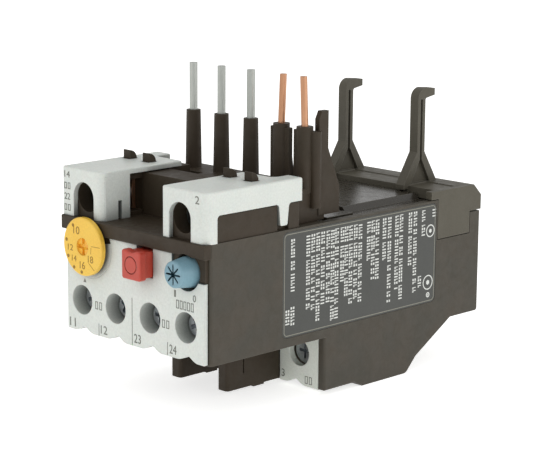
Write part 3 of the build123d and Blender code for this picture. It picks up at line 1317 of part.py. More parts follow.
def stop_spring():
    """Spring behind the stop button's flange."""
    return helical_spring(
        STOP_X, STOP_Z, STOP_SPRING_R, FASCIA_T + MOVE_GAP + STOP_FLANGE_T, POCKET_REAR,
    )


def reset_knob():
    """Round blue knob with a star recess, turning on its plunger."""
    knob = cone_y(RESET_X, RESET_Z, RESET_R, RESET_FOOT_R, RESET_FRONT, RESET_REAR)
    knob = chamfer(knob.edges().group_by(Axis.Y)[0], SEAM)
    recess = star(RESET_X, RESET_Z, RESET_SLOT_R, RESET_SLOT_W, 4)
    knob = knob - along_y(recess, RESET_FRONT - OVERRUN, RESET_FRONT + RESET_SLOT_DEPTH)
    bore_front = RESET_FRONT + 2 * RESET_SLOT_DEPTH
    return knob - rod_y(RESET_X, RESET_Z, RESET_ROD_R + RUN_GAP, bore_front, RESET_REAR + OVERRUN)


def reset_plunger():
    """Rod that carries the knob and pushes the reset rocker."""
    nose_front = RESET_FRONT + 2 * RESET_SLOT_DEPTH + SEAM
    rod_end = rocker_push_y() - MOVE_GAP
    rod = rod_y(RESET_X, RESET_Z, RESET_ROD_R, nose_front, rod_end)
    collar_front = RESET_REAR + SEAM
    rod = rod + rod_y(RESET_X, RESET_Z, RESET_COLLAR_R, collar_front, collar_front + STOP_FLANGE_T)
    groove = disc(RESET_X, RESET_Z, RESET_ROD_R + OVERRUN) - disc(RESET_X, RESET_Z, RESET_ROD_R - SEAM)
    clip_front = BEARING_WALL_REAR + CLIP_GAP
    return rod - along_y(groove, clip_front, clip_front + CLIP_T)


def reset_clip():
    """Retaining ring on the plunger behind the bearing wall."""
    clip_front = BEARING_WALL_REAR + CLIP_GAP
    ring = disc(RESET_X, RESET_Z, 2 * RESET_ROD_R) - disc(RESET_X, RESET_Z, RESET_ROD_R - SEAM)
    half = RESET_ROD_R / 2
    ring = ring - span(RESET_X - half, RESET_X + half, RESET_Z - 3 * RESET_ROD_R, RESET_Z)
    return along_y(ring, clip_front, clip_front + CLIP_T)


def reset_spring():
    """Spring behind the plunger's collar."""
    return helical_spring(
        RESET_X, RESET_Z, RESET_SPRING_R, RESET_REAR + SEAM + STOP_FLANGE_T, POCKET_REAR,
    )


def trip_slide():
    """Bar across the three poles, pushed sideways by the tips of the bimetal strips."""
    left = LEVER_X + LEVER_W / 2 + MOVE_GAP
    face = span(left, SLIDE_RIGHT, BIMETAL_Y - SLIDE_W / 2, BIMETAL_Y + SLIDE_W / 2)
    for x in POLE_X:
        window_right = x + BIMETAL_T / 2 + SLIDE_TRAVEL + MOVE_GAP
        window = span(
            x - BIMETAL_T / 2 - MOVE_GAP, window_right,
            BIMETAL_Y - BIMETAL_W / 2 - SLIDE_GAP, BIMETAL_Y + BIMETAL_W / 2 + SLIDE_GAP,
        )
        face = face - window
    return along_z(face, SLIDE_FLOOR_Z, SLIDE_FLOOR_Z + SLIDE_T)


def trip_lever():
    """Bell crank from the slide to the contact carrier."""
    half = LEVER_W / 2
    rear_end = BIMETAL_Y + SLIDE_W / 4
    face = disc(LEVER_X, LEVER_Y, LEVER_BOSS_R)
    face = face + span(LEVER_X - half, LEVER_X + half, LEVER_Y, rear_end)
    face = face + span(LEVER_X, LEVER_PEG_R + SEAM, LEVER_Y - half, LEVER_Y + half)
    face = face - disc(LEVER_X, LEVER_Y, LEVER_PIN_R + RUN_GAP)
    lever = along_z(face, LEVER_FLOOR_Z, LEVER_FLOOR_Z + SLIDE_T)
    peg_floor = BRIDGE_FLOOR_Z + BRIDGE_H / 2
    return lever + rod_z(0.0, LEVER_Y, LEVER_PEG_R, peg_floor, LEVER_FLOOR_Z)


def contact_carrier():
    """Sliding carrier of the two contact bridges."""
    floor = CAVITY_FLOOR_Z + SLIDE_GAP
    body = block(-CONTACT_HALF, CONTACT_HALF, CONTACT_FRONT, CONTACT_REAR, floor, CONTACT_TOP_Z)
    tail_front = CONTACT_REAR - CONTACT_TAIL_T
    body = body + block(
        -CONTACT_HALF, CONTACT_HALF, tail_front, CONTACT_REAR, CONTACT_TOP_Z, CONTACT_TAIL_Z,
    )
    flag_right = STOP_X + STOP_ROD_R
    body = body + block(
        CONTACT_HALF, flag_right, CONTACT_FRONT, CONTACT_FRONT + CONTACT_TAIL_T,
        TAB_TOP_Z + SEAM, CONTACT_TOP_Z,
    )
    slot_half = LEVER_PEG_R + SEAM
    body = body - block(
        -CONTACT_HALF + COVER_EDGE_R, CONTACT_HALF - COVER_EDGE_R, LEVER_Y - slot_half, LEVER_Y + slot_half,
        BRIDGE_FLOOR_Z + BRIDGE_H / 2 - MOVE_GAP, CONTACT_TOP_Z + OVERRUN,
    )
    for side in (-1, 1):
        body = body - bridge(side)
    return body


def bridge(side):
    """One contact bridge: the left one is closed at rest, the right one open."""
    return block(
        min(side * BRIDGE_ROOT, side * BRIDGE_END), max(side * BRIDGE_ROOT, side * BRIDGE_END),
        BRIDGE_FRONT, BRIDGE_FRONT + BRIDGE_T, BRIDGE_FLOOR_Z, BRIDGE_FLOOR_Z + BRIDGE_H,
    )


def rocker_push_y():
    """Front face of the rocker arm that the reset plunger pushes."""
    return ROCKER_Y - ROCKER_CRANK - ROCKER_ARM_W / 2


def reset_rocker():
    """Small two-armed rocker that sends the contact carrier back."""
    swing = RESET_TRAVEL * ROCKER_REACH / (RESET_X - ROCKER_X)
    arm_front = CONTACT_REAR + CONTACT_TRAVEL + SLIDE_GAP + swing
    push = rocker_push_y()
    tip_x = ROCKER_X - ROCKER_REACH
    face = disc(ROCKER_X, ROCKER_Y, ROCKER_BOSS_R)
    face = face + outline([
        (ROCKER_X, ROCKER_Y - ROCKER_ARM_W / 2),
        (RESET_X + RESET_ROD_R, push),
        (RESET_X + RESET_ROD_R, push + ROCKER_ARM_W),
        (ROCKER_X, ROCKER_Y + ROCKER_ARM_W / 2),
    ])
    face = face + outline([
        (ROCKER_X, ROCKER_Y - ROCKER_ARM_W / 2),
        (ROCKER_X, ROCKER_Y + ROCKER_ARM_W),
        (tip_x, arm_front + ROCKER_ARM_W),
        (tip_x, arm_front),
        (CONTACT_HALF + MOVE_GAP, arm_front),
    ])
    face = face - disc(ROCKER_X, ROCKER_Y, ROCKER_PIN_R + RUN_GAP)
    return along_z(face, ROCKER_FLOOR_Z, ROCKER_FLOOR_Z + ROCKER_T)


def save(node, *solids):
    """Writes one node, moved so that the origin lies under the middle of the relay."""
    placed = [Pos(0, -MIDDLE_Y, 0) * solid for solid in solids]
    shape = placed[0] if len(placed) == 1 else Compound(children=placed)
    shape.label = node
    export_step(shape, f"parts/{node}.step")


os.makedirs("parts", exist_ok=True)

cover = side_cover()
save("side_cover_right", cover - label_recess())
save("side_cover_left", mirrored(cover))
save("front_frame", front_frame())
save("fascia", fascia())
barrier = phase_barrier()
save("phase_barriers", barrier, mirrored(barrier))
save("main_terminal_faces", *[terminal_plate(x) for x in POLE_X])
save("pole_base", pole_base())
save("deck_cover", deck_cover())
save("hook_bracket", hook_bracket())
right = (RIGHT_INNER, RIGHT_ARCH_X, RIGHT_CATCH_X)
left = (LEFT_INNER, LEFT_ARCH_X, LEFT_CATCH_X)
save("terminal_block_right", terminal_block(*right))
save("terminal_block_left", mirrored(terminal_block(*left)))
save("centre_block", centre_block())
save("shroud_right", shroud(*right))
save("shroud_left", mirrored(shroud(*left)))
save("sleeve_carrier", sleeve_carrier())
save("pole_pins", *pole_pins())
save("control_wires", *control_wires())
save("pole_leads", *pole_leads())
save("wire_links", *wire_links())
save("aux_screws", *aux_screws())
save("aux_washers", *aux_washers())
save("nc_contact_strips", *nc_strips())
save("no_contact_strips", *no_strips())
save("main_screws", *main_screws())
save("main_clamps", *main_clamps())
save("main_straps", *main_straps())
save("bimetal_strips", *bimetal_strips())
save("heater_windings", *heater_windings())
save("upper_screws", upper_screw(RIGHT_ARCH_X), mirrored(upper_screw(LEFT_ARCH_X)))
save("upper_washers", upper_washer(RIGHT_ARCH_X), mirrored(upper_washer(LEFT_ARCH_X)))
save("upper_terminal_strips", upper_plate(RIGHT_ARCH_X), mirrored(upper_plate(LEFT_ARCH_X)))
save("current_dial", current_dial())
save("setting_cam", setting_cam())
save("setting_lever", setting_lever())
save("setting_lever_pin", follower_pin())
save("stop_button", stop_button())
save("stop_spring", stop_spring())
save("reset_knob", reset_knob())
save("reset_plunger", reset_plunger())
save("reset_clip", reset_clip())
save("reset_spring", reset_spring())
save("trip_slide", trip_slide())
save("trip_lever", trip_lever())
save("trip_lever_pin", upright_pin(LEVER_X, LEVER_Y, LEVER_PIN_R))
save("contact_carrier", contact_carrier())
save("nc_bridge", bridge(-1))
save("no_bridge", bridge(1))
save("reset_rocker", reset_rocker())
save("reset_rocker_pin", upright_pin(ROCKER_X, ROCKER_Y, ROCKER_PIN_R))
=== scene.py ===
"""A thermal overload relay, dressed for a studio picture.

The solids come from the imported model. This file gives them their finishes and adds the label, the
prints and the small fittings that a maker would put on after moulding.
"""
import logging
import random
from dataclasses import dataclass, field
from enum import Enum
from math import atan2, cos, pi, radians, sin
from typing import Any, Mapping, Sequence

import bmesh
import bpy
from mathutils import Matrix, Vector


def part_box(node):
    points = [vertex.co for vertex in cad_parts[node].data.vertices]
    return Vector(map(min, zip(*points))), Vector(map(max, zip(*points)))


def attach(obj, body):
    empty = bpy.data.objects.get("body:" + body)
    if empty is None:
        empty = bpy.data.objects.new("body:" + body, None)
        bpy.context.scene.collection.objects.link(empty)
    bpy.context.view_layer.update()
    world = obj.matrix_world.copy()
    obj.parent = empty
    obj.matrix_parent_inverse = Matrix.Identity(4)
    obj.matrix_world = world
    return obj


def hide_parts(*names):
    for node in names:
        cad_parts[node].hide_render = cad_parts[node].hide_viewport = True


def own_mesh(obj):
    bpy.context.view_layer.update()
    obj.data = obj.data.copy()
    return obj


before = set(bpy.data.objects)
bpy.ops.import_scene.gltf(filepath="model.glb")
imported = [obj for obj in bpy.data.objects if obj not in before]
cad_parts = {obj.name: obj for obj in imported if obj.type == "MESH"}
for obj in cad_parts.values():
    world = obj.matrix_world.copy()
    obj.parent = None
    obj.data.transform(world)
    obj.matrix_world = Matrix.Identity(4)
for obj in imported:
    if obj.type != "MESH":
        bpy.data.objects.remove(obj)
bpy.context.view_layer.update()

LOG = logging.getLogger("overload_relay")

MM = 0.001
# Keeps a division finite where an arm of a star points straight outwards.
TINY = 0.001
X_AXIS = Vector((1.0, 0.0, 0.0))
Y_AXIS = Vector((0.0, 1.0, 0.0))
Z_AXIS = Vector((0.0, 0.0, 1.0))
FASCIA_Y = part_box("fascia")[0].y / MM

# Places on a face, in millimetres: a point, a number in the box between two corners, and an upright
# mark by its middle, its width and its height.
Point = tuple[float, float]
NumberBox = tuple[str, Point, Point]
MarkBox = tuple[float, float, float, float]

# Sockets of the node that blends two colours.
MIX_SHARE = 0
MIX_FIRST = 6
MIX_SECOND = 7
MIX_COLOUR = 2

# Greeked letters, each as bars of (across, along, width, height): across and width as shares of the
# letters' height, along and height as shares of their pitch.
GREEK_LETTERS: tuple[tuple[MarkBox, ...], ...] = (
    ((0.0, 0.0, 1.0, 0.442),),
    ((0.0, 0.187, 1.0, 0.272), (-0.3, -0.204, 0.4, 0.306)),
    ((0.3, 0.0, 0.38, 0.72), (-0.3, 0.0, 0.38, 0.72)),
)
GREEK_PITCH = 0.6
GREEK_SPACE = 0.8
GREEK_FIRST_WORD = (3, 8)
GREEK_WORD = (2, 8)


class Body(str, Enum):
    """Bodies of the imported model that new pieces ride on."""

    HOUSING = "housing"
    DIAL = "dial"
    KNOB = "reset_knob"


class Streak(Enum):
    """Direction in which a drawn or rolled metal shows its lines."""

    NONE = (1.0, 1.0, 1.0)
    UPRIGHT = (1.0, 1.0, 0.04)
    ACROSS = (0.04, 1.0, 1.0)


def linear(code: str) -> tuple[float, float, float, float]:
    """Turns an sRGB hex code into a linear colour, by the curve of the sRGB standard.

    Args:
        code: Colour such as "#544f46".

    Returns:
        Linear red, green and blue, and an alpha of 1.
    """
    channels = [int(code[start:start + 2], 16) / 255 for start in (1, 3, 5)]
    return (*[c / 12.92 if c <= 0.04045 else ((c + 0.055) / 1.055) ** 2.4 for c in channels], 1.0)


def add_node(
    tree: bpy.types.NodeTree,
    kind: str,
    settings: Mapping[str, Any] | None = None,
    inputs: Mapping[str | int, Any] | None = None,
) -> bpy.types.Node:
    """Adds a shader node with its settings, its input values and its links.

    Args:
        tree: Node tree that takes the node.
        kind: Blender's name of the node type.
        settings: Properties of the node by name.
        inputs: Values or output sockets by input name or number.

    Returns:
        The new node.
    """
    node = tree.nodes.new(kind)
    for name, value in (settings or {}).items():
        setattr(node, name, value)
    for name, value in (inputs or {}).items():
        if isinstance(value, bpy.types.NodeSocket):
            tree.links.new(value, node.inputs[name])
        else:
            node.inputs[name].default_value = value
    return node


def new_material(name: str) -> tuple[bpy.types.Material, bpy.types.NodeTree]:
    """Makes an empty node material.

    Args:
        name: Name of the real material.

    Returns:
        The material and its empty tree.
    """
    material = bpy.data.materials.new(name)
    material.use_nodes = True
    material.node_tree.nodes.clear()
    return material, material.node_tree


@dataclass(frozen=True)
class Finish:
    """What every finish has: the name and colour of the real material, and the way to build it."""

    name: str
    colour: str

    def build(self) -> bpy.types.Material:
        """Builds the material on Object coordinates.

        Returns:
            The finished material.
        """
        material, tree = new_material(self.name)
        place = add_node(tree, "ShaderNodeTexCoord").outputs["Object"]
        shader = self.shader(tree, place)
        add_node(tree, "ShaderNodeOutputMaterial", None, {"Surface": shader.outputs["BSDF"]})
        return material

    def shader(self, tree: bpy.types.NodeTree, place: bpy.types.NodeSocket) -> bpy.types.Node:
        """Adds the nodes of one kind of finish and returns its shader."""
        raise NotImplementedError


@dataclass(frozen=True)
class PaintedRecessShade:
    """A round sunken place in the front of a solid, painted in a deeper tone as shade. Sizes in millimetres.
    """

    node: str
    centre: Point
    radius: float
    depth: float
    colour: str

    def front(self) -> float:
        """Returns the place along Y, in metres, behind which the painted shade starts."""
        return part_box(self.node)[0].y + self.depth * MM


@dataclass(frozen=True)
class MouldedPlastic(Finish):
    """Injection-moulded thermoplastic with a spark-eroded grain.

    The mould's eroded steel leaves an even matt grain, so highlights are broad and soft. Edges
    get a lighter tone, a painted highlight where light would catch them. The real grain
    is about 0.1 mm, too fine for the picture, and is drawn at the coarser grain_mm. Its pits
    swallow a part of the reflection, which shine gives as the share of 0.5 that stays.
    """

    cloud_colour: str
    # Lighter tone along the edges: a painted highlight.
    edge_highlight_colour: str
    roughness: float
    grain_mm: float = 0.45
    grain_depth_mm: float = 0.012
    cloud_mm: float = 7.0
    cloud_amount: float = 0.5
    edge_radius_mm: float = 0.22
    # Strength of the painted edge highlight.
    edge_highlight_amount: float = 0.6
    scuff_mm: float = 2.2
    scuff_amount: float = 0.12
    shine: float = 0.5
    # Painted shade in narrow holes: its strength, the reach of the occlusion test and its colour.
    pocket_shade: float = 0.0
    pocket_shade_mm: float = 5.0
    pocket_shade_colour: str = "#3c3f3d"
    glow: float = 0.0
    glow_mm: float = 0.4
    # Darker tone in a sunken place at the front: painted shade.
    recess: PaintedRecessShade | None = None

    def shader(self, tree: bpy.types.NodeTree, place: bpy.types.NodeSocket) -> bpy.types.Node:
        """Lays tone drift, grain, a painted highlight on the edges and scuffs over the plastic, with painted
        shade in a recess and in narrow holes where these are set.

        Args:
            tree: Tree of the material.
            place: Object coordinates.

        Returns:
            The shader node.
        """
        cloud = add_node(tree, "ShaderNodeTexNoise", None, {
            "Vector": place, "Scale": 1 / (self.cloud_mm * MM), "Detail": 3.0, "Roughness": 0.55,
        })
        grain = add_node(tree, "ShaderNodeTexNoise", None, {
            "Vector": place, "Scale": 1 / (self.grain_mm * MM), "Detail": 4.0, "Roughness": 0.6,
        })
        scuff = add_node(tree, "ShaderNodeTexNoise", None, {
            "Vector": place, "Scale": 1 / (self.scuff_mm * MM), "Detail": 6.0, "Roughness": 0.7,
            "Distortion": 0.6,
        })
        drift = add_node(tree, "ShaderNodeMapRange", None, {
            "Value": cloud.outputs["Fac"], "From Min": 0.35, "From Max": 0.65, "To Max": self.cloud_amount,
        })
        colour = add_node(tree, "ShaderNodeMix", {"data_type": "RGBA"}, {
            MIX_SHARE: drift.outputs["Result"], MIX_FIRST: linear(self.colour),
            MIX_SECOND: linear(self.cloud_colour),
        }).outputs[MIX_COLOUR]
        speck = add_node(tree, "ShaderNodeMapRange", None, {
            "Value": grain.outputs["Fac"], "From Min": 0.3, "From Max": 0.7, "To Min": 0.94, "To Max": 1.06,
        })
        colour = add_node(tree, "ShaderNodeMix", {"data_type": "RGBA", "blend_type": "MULTIPLY"}, {
            MIX_SHARE: 1.0, MIX_FIRST: colour, MIX_SECOND: speck.outputs["Result"],
        }).outputs[MIX_COLOUR]
        soft = add_node(tree, "ShaderNodeBevel", {"samples": 6}, {"Radius": self.edge_radius_mm * MM})
        geometry = add_node(tree, "ShaderNodeNewGeometry")
        turn = add_node(tree, "ShaderNodeVectorMath", {"operation": "DOT_PRODUCT"}, {
            0: soft.outputs["Normal"], 1: geometry.outputs["Normal"],
        })
        # Painted highlight: where the softened normal turns away from the face, the colour moves towards the
        # lighter edge tone.
        edge = add_node(tree, "ShaderNodeMapRange", None, {
            "Value": turn.outputs["Value"], "From Min": 0.995, "From Max": 0.86, "To Max": self.edge_highlight_amount,
        })
        colour = add_node(tree, "ShaderNodeMix", {"data_type": "RGBA"}, {
            MIX_SHARE: edge.outputs["Result"], MIX_FIRST: colour, MIX_SECOND: linear(self.edge_highlight_colour),
        }).outputs[MIX_COLOUR]
        # Painted shade: a deeper tone in the sunken place at the front.
        if self.recess is not None:
            colour = self.shade_recess(tree, place, colour)
        # Painted shade: a darker tone in narrow holes.
        if self.pocket_shade:
            colour = self.shade_pockets(tree, colour)
        rough = add_node(tree, "ShaderNodeMapRange", None, {
            "Value": scuff.outputs["Fac"], "From Min": 0.3, "From Max": 0.7,
            "To Min": self.roughness - self.scuff_amount, "To Max": self.roughness + self.scuff_amount,
        })
        bump = add_node(tree, "ShaderNodeBump", None, {
            "Height": grain.outputs["Fac"], "Distance": self.grain_depth_mm * MM, "Strength": 0.9,
            "Normal": soft.outputs["Normal"],
        })
        return add_node(tree, "ShaderNodeBsdfPrincipled", None, {
            "Base Color": colour, "Roughness": rough.outputs["Result"], "Normal": bump.outputs["Normal"],
            "IOR": 1.53, "Specular IOR Level": self.shine, "Subsurface Weight": self.glow,
            "Subsurface Scale": self.glow_mm * MM,
        })

    def shade_pockets(self, tree: bpy.types.NodeTree, colour: bpy.types.NodeSocket) -> bpy.types.NodeSocket:
        """Paints shade into narrow holes: a deeper tone where close walls shut out the open sky.

        Args:
            tree: Tree of the material.
            colour: Colour of the open faces.

        Returns:
            Colour of the whole piece.
        """
        open_sky = add_node(tree, "ShaderNodeAmbientOcclusion", {"samples": 8}, {
            "Distance": self.pocket_shade_mm * MM,
        })
        dark = add_node(tree, "ShaderNodeMapRange", None, {
            "Value": open_sky.outputs["AO"], "From Min": 0.95, "From Max": 0.35, "To Max": self.pocket_shade,
        })
        return add_node(tree, "ShaderNodeMix", {"data_type": "RGBA"}, {
            MIX_SHARE: dark.outputs["Result"], MIX_FIRST: colour, MIX_SECOND: linear(self.pocket_shade_colour),
        }).outputs[MIX_COLOUR]

    def shade_recess(
        self, tree: bpy.types.NodeTree, place: bpy.types.NodeSocket, colour: bpy.types.NodeSocket,
    ) -> bpy.types.NodeSocket:
        """Paints shade into the sunken place as a deeper tone.

        Args:
            tree: Tree of the material.
            place: Object coordinates.
            colour: Colour of the rest of the piece.

        Returns:
            Colour of the whole piece.
        """
        axes = add_node(tree, "ShaderNodeSeparateXYZ", None, {"Vector": place})
        behind = add_node(tree, "ShaderNodeMath", {"operation": "GREATER_THAN"}, {
            0: axes.outputs["Y"], 1: self.recess.front(),
        })
        flat = add_node(tree, "ShaderNodeCombineXYZ", None, {"X": axes.outputs["X"], "Y": axes.outputs["Z"]})
        reach = add_node(tree, "ShaderNodeVectorMath", {"operation": "DISTANCE"}, {
            0: flat.outputs["Vector"], 1: (self.recess.centre[0] * MM, self.recess.centre[1] * MM, 0.0),
        })
        near = add_node(tree, "ShaderNodeMath", {"operation": "LESS_THAN"}, {
            0: reach.outputs["Value"], 1: self.recess.radius * MM,
        })
        both = add_node(tree, "ShaderNodeMath", {"operation": "MULTIPLY"}, {
            0: behind.outputs["Value"], 1: near.outputs["Value"],
        })
        return add_node(tree, "ShaderNodeMix", {"data_type": "RGBA"}, {
            MIX_SHARE: both.outputs["Value"], MIX_FIRST: colour, MIX_SECOND: linear(self.recess.colour),
        }).outputs[MIX_COLOUR]


@dataclass(frozen=True)
class BareMetal(Finish):
    """Metal part with drawing or rolling lines and a patchy surface film.

    Drawn wire and rolled strip keep fine lines along their length. Plating softens them. The
    lines are about 0.02 mm apart on the real part and are drawn at line_mm so that they show.
    """

    film_colour: str
    roughness: float
    streak: Streak = Streak.NONE
    line_mm: float = 0.16
    line_depth_mm: float = 0.006
    film_mm: float = 2.6
    film_amount: float = 0.5
    polished: float = 0.08
    dulled: float = 0.12
    edge_radius_mm: float = 0.1

    def shader(self, tree: bpy.types.NodeTree, place: bpy.types.NodeSocket) -> bpy.types.Node:
        """Lays the lines and the film over the metal.

        Args:
            tree: Tree of the material.
            place: Object coordinates.

        Returns:
            The shader node.
        """
        drawn = add_node(tree, "ShaderNodeMapping", None, {
            "Vector": place, "Scale": self.streak.value,
        }).outputs["Vector"]
        lines = add_node(tree, "ShaderNodeTexNoise", None, {
            "Vector": drawn, "Scale": 1 / (self.line_mm * MM), "Detail": 3.0, "Roughness": 0.65,
        })
        film = add_node(tree, "ShaderNodeTexNoise", None, {
            "Vector": drawn, "Scale": 1 / (self.film_mm * MM), "Detail": 5.0, "Roughness": 0.6,
        })
        patch = add_node(tree, "ShaderNodeMapRange", None, {
            "Value": film.outputs["Fac"], "From Min": 0.35, "From Max": 0.7, "To Max": self.film_amount,
        })
        colour = add_node(tree, "ShaderNodeMix", {"data_type": "RGBA"}, {
            MIX_SHARE: patch.outputs["Result"], MIX_FIRST: linear(self.colour),
            MIX_SECOND: linear(self.film_colour),
        }).outputs[MIX_COLOUR]
        rough = add_node(tree, "ShaderNodeMapRange", None, {
            "Value": lines.outputs["Fac"], "From Min": 0.3, "From Max": 0.7,
            "To Min": self.roughness - self.polished, "To Max": self.roughness + self.dulled,
        })
        soft = add_node(tree, "ShaderNodeBevel", {"samples": 4}, {"Radius": self.edge_radius_mm * MM})
        bump = add_node(tree, "ShaderNodeBump", None, {
            "Height": lines.outputs["Fac"], "Distance": self.line_depth_mm * MM, "Strength": 0.8,
            "Normal": soft.outputs["Normal"],
        })
        return add_node(tree, "ShaderNodeBsdfPrincipled", None, {
            "Base Color": colour, "Metallic": 1.0, "Roughness": rough.outputs["Result"],
            "Normal": bump.outputs["Normal"],
        })


@dataclass(frozen=True)
class PrintInk(Finish):
    """Pad-printed or screen-printed ink: thin, matt and a little uneven in cover."""

    worn_colour: str
    roughness: float = 0.6
    patch_mm: float = 0.35
    patch_depth_mm: float = 0.004

    def shader(self, tree: bpy.types.NodeTree, place: bpy.types.NodeSocket) -> bpy.types.Node:
        """Lets the ground show through the ink in small patches.

        Args:
            tree: Tree of the material.
            place: Object coordinates.

        Returns:
            The shader node.
        """
        cover = add_node(tree, "ShaderNodeTexNoise", None, {
            "Vector": place, "Scale": 1 / (self.patch_mm * MM), "Detail": 3.0, "Roughness": 0.6,
        })
        worn = add_node(tree, "ShaderNodeMapRange", None, {
            "Value": cover.outputs["Fac"], "From Min": 0.5, "From Max": 0.75, "To Max": 0.8,
        })
        colour = add_node(tree, "ShaderNodeMix", {"data_type": "RGBA"}, {
            MIX_SHARE: worn.outputs["Result"], MIX_FIRST: linear(self.colour),
            MIX_SECOND: linear(self.worn_colour),
        }).outputs[MIX_COLOUR]
        bump = add_node(tree, "ShaderNodeBump", None, {
            "Height": cover.outputs["Fac"], "Distance": self.patch_depth_mm * MM, "Strength": 0.7,
        })
        return add_node(tree, "ShaderNodeBsdfPrincipled", None, {
            "Base Color": colour, "Roughness": self.roughness, "Normal": bump.outputs["Normal"],
        })


# Glass-filled polyamide 66, dark warm grey, from a spark-eroded mould: matt, with a slow brown
# and green drift in tone where the glass comes near the surface.
HOUSING_POLYAMIDE = MouldedPlastic(
    "glass_filled_polyamide_dark", "#453e33", "#3c3a31", "#6d685e", roughness=0.55, cloud_amount=0.7,
    shine=0.4,
)
# Unpainted black-brown polyamide of the frame, the blocks and the sleeves. It comes from polished
# moulds, so it is smoother and much darker than the covers.
FRAME_POLYAMIDE = MouldedPlastic(
    "polyamide_black_brown", "#3a3024", "#332c20", "#574f42", roughness=0.55, grain_depth_mm=0.006,
    cloud_amount=0.6, shine=0.27,
)
# The deck is the same plastic from a polished face of the mould, so it shines at a low angle.
DECK_POLYAMIDE = MouldedPlastic(
    "polyamide_black_polished", "#37332b", "#312d27", "#6d685c", roughness=0.27, grain_depth_mm=0.002,
    cloud_amount=0.6, scuff_amount=0.08,
)
# Polyamide of the rear bracket from a finer mould, between the covers and the frame in tone.
BRACKET_POLYAMIDE = MouldedPlastic(
    "polyamide_dark_grey", "#585449", "#514d42", "#7d7a71", roughness=0.5, grain_depth_mm=0.005,
    shine=0.25,
)
# Light grey polycarbonate with a satin skin. It lets a little light in. Its edges get a lighter tone as
# painted highlight, and its narrow holes a darker tone as painted shade.
SHELL_POLYCARBONATE = MouldedPlastic(
    "polycarbonate_light_grey", "#d8dcd6", "#ced4ce", "#e8eae6", roughness=0.42, grain_depth_mm=0.004,
    cloud_amount=0.4, edge_radius_mm=0.3, edge_highlight_amount=0.5, scuff_amount=0.06, pocket_shade=0.75, glow=0.04,
)
# The terminal plates are the same plastic. Their colour is set warmer and lighter than the fascia's, as
# painted light against the shade that they sit in under the fascia.
LIGHTENED_PLATE_POLYCARBONATE = MouldedPlastic(
    "polycarbonate_warm_grey_lightened", "#e4e8df", "#d9ded4", "#eef0e9", roughness=0.45, grain_depth_mm=0.004,
    cloud_amount=0.5, edge_radius_mm=0.3, edge_highlight_amount=0.5, scuff_amount=0.06, glow=0.03,
)
# Yellow acetal dial with a satin face, and painted shade as a deeper orange in the screwdriver recess.
DIAL_ACETAL = MouldedPlastic(
    "acetal_yellow", "#f0c446", "#eebb3c", "#f6d572", roughness=0.4, grain_depth_mm=0.004, cloud_amount=0.6,
    edge_radius_mm=0.25, edge_highlight_amount=0.5, scuff_amount=0.06,
    recess=PaintedRecessShade("current_dial", (-13.8, 32.7), 2.2, 0.15, "#f2b42e"),
)
# Red acetal button, satin, with painted shade as a darker red in its engraved ring.
BUTTON_ACETAL = MouldedPlastic(
    "acetal_red", "#bf4433", "#b2392a", "#d66c59", roughness=0.38, grain_depth_mm=0.004, cloud_amount=0.6,
    edge_radius_mm=0.3, edge_highlight_amount=0.5, scuff_amount=0.06,
    recess=PaintedRecessShade("stop_button", (3.9, 31.9), 2.05, 0.08, "#a32a1f"),
)
# Pale blue acetal knob, satin, with painted shade as a dark blue in the star recess.
KNOB_ACETAL = MouldedPlastic(
    "acetal_pale_blue", "#7a9fad", "#6e93a2", "#9dbac4", roughness=0.4, grain_depth_mm=0.004,
    cloud_amount=0.6, edge_radius_mm=0.3, edge_highlight_amount=0.5, scuff_amount=0.06,
    recess=PaintedRecessShade("reset_knob", (16.5, 32.0), 2.3, 0.7, "#2f5563"),
)
# Uncoloured polyamide of the hidden levers and slides, slightly milky.
NATURAL_POLYAMIDE = MouldedPlastic(
    "polyamide_natural", "#d1ccbc", "#c8c2b0", "#e2ddd0", roughness=0.45, grain_depth_mm=0.003, glow=0.05,
)
# Zinc-plated steel screws and clamps: bluish grey, softly blotched by the passivated zinc.
ZINC_STEEL = BareMetal("zinc_plated_steel", "#b9bdc0", "#8f9496", 0.34, line_mm=0.3)
# Spring steel wire, drawn, with a dull oil film.
SPRING_STEEL = BareMetal("spring_steel", "#8e9092", "#6d6f70", 0.36)
# Tinned copper pins: grey and silky, with drawing lines along their length.
TINNED_COPPER = BareMetal("tinned_copper", "#bdc0bb", "#979a95", 0.42, Streak.UPRIGHT, film_amount=0.7)
# Bare drawn copper wire, bright pinkish brown with slightly darker, older stretches.
BARE_COPPER = BareMetal("bare_copper", "#cf9f7f", "#a97a5b", 0.4, Streak.UPRIGHT, film_amount=0.7)
# Rolled bimetal and its heater band: warm grey with rolling lines.
BIMETAL = BareMetal("rolled_bimetal", "#9a948a", "#7b746a", 0.4, Streak.ACROSS)
# Polyester label film, dark grey with a faint cool cast, smoother than the cover around it.
LABEL_FILM = MouldedPlastic(
    "polyester_label_film", "#40413d", "#3a3c39", "#585954", roughness=0.45, grain_depth_mm=0.002,
    cloud_mm=11.0, cloud_amount=0.5, edge_radius_mm=0.05, scuff_amount=0.05,
)
WHITE_INK = PrintInk("white_screen_ink", "#dfe1dc", "#b2b3ad")
BORDER_INK = PrintInk("grey_border_ink", "#8a897d", "#6c6c62")
DARK_INK = PrintInk("dark_pad_ink", "#6b6d65", "#94968c")
DIAL_INK = PrintInk("brown_pad_ink", "#8d6a22", "#c39835")

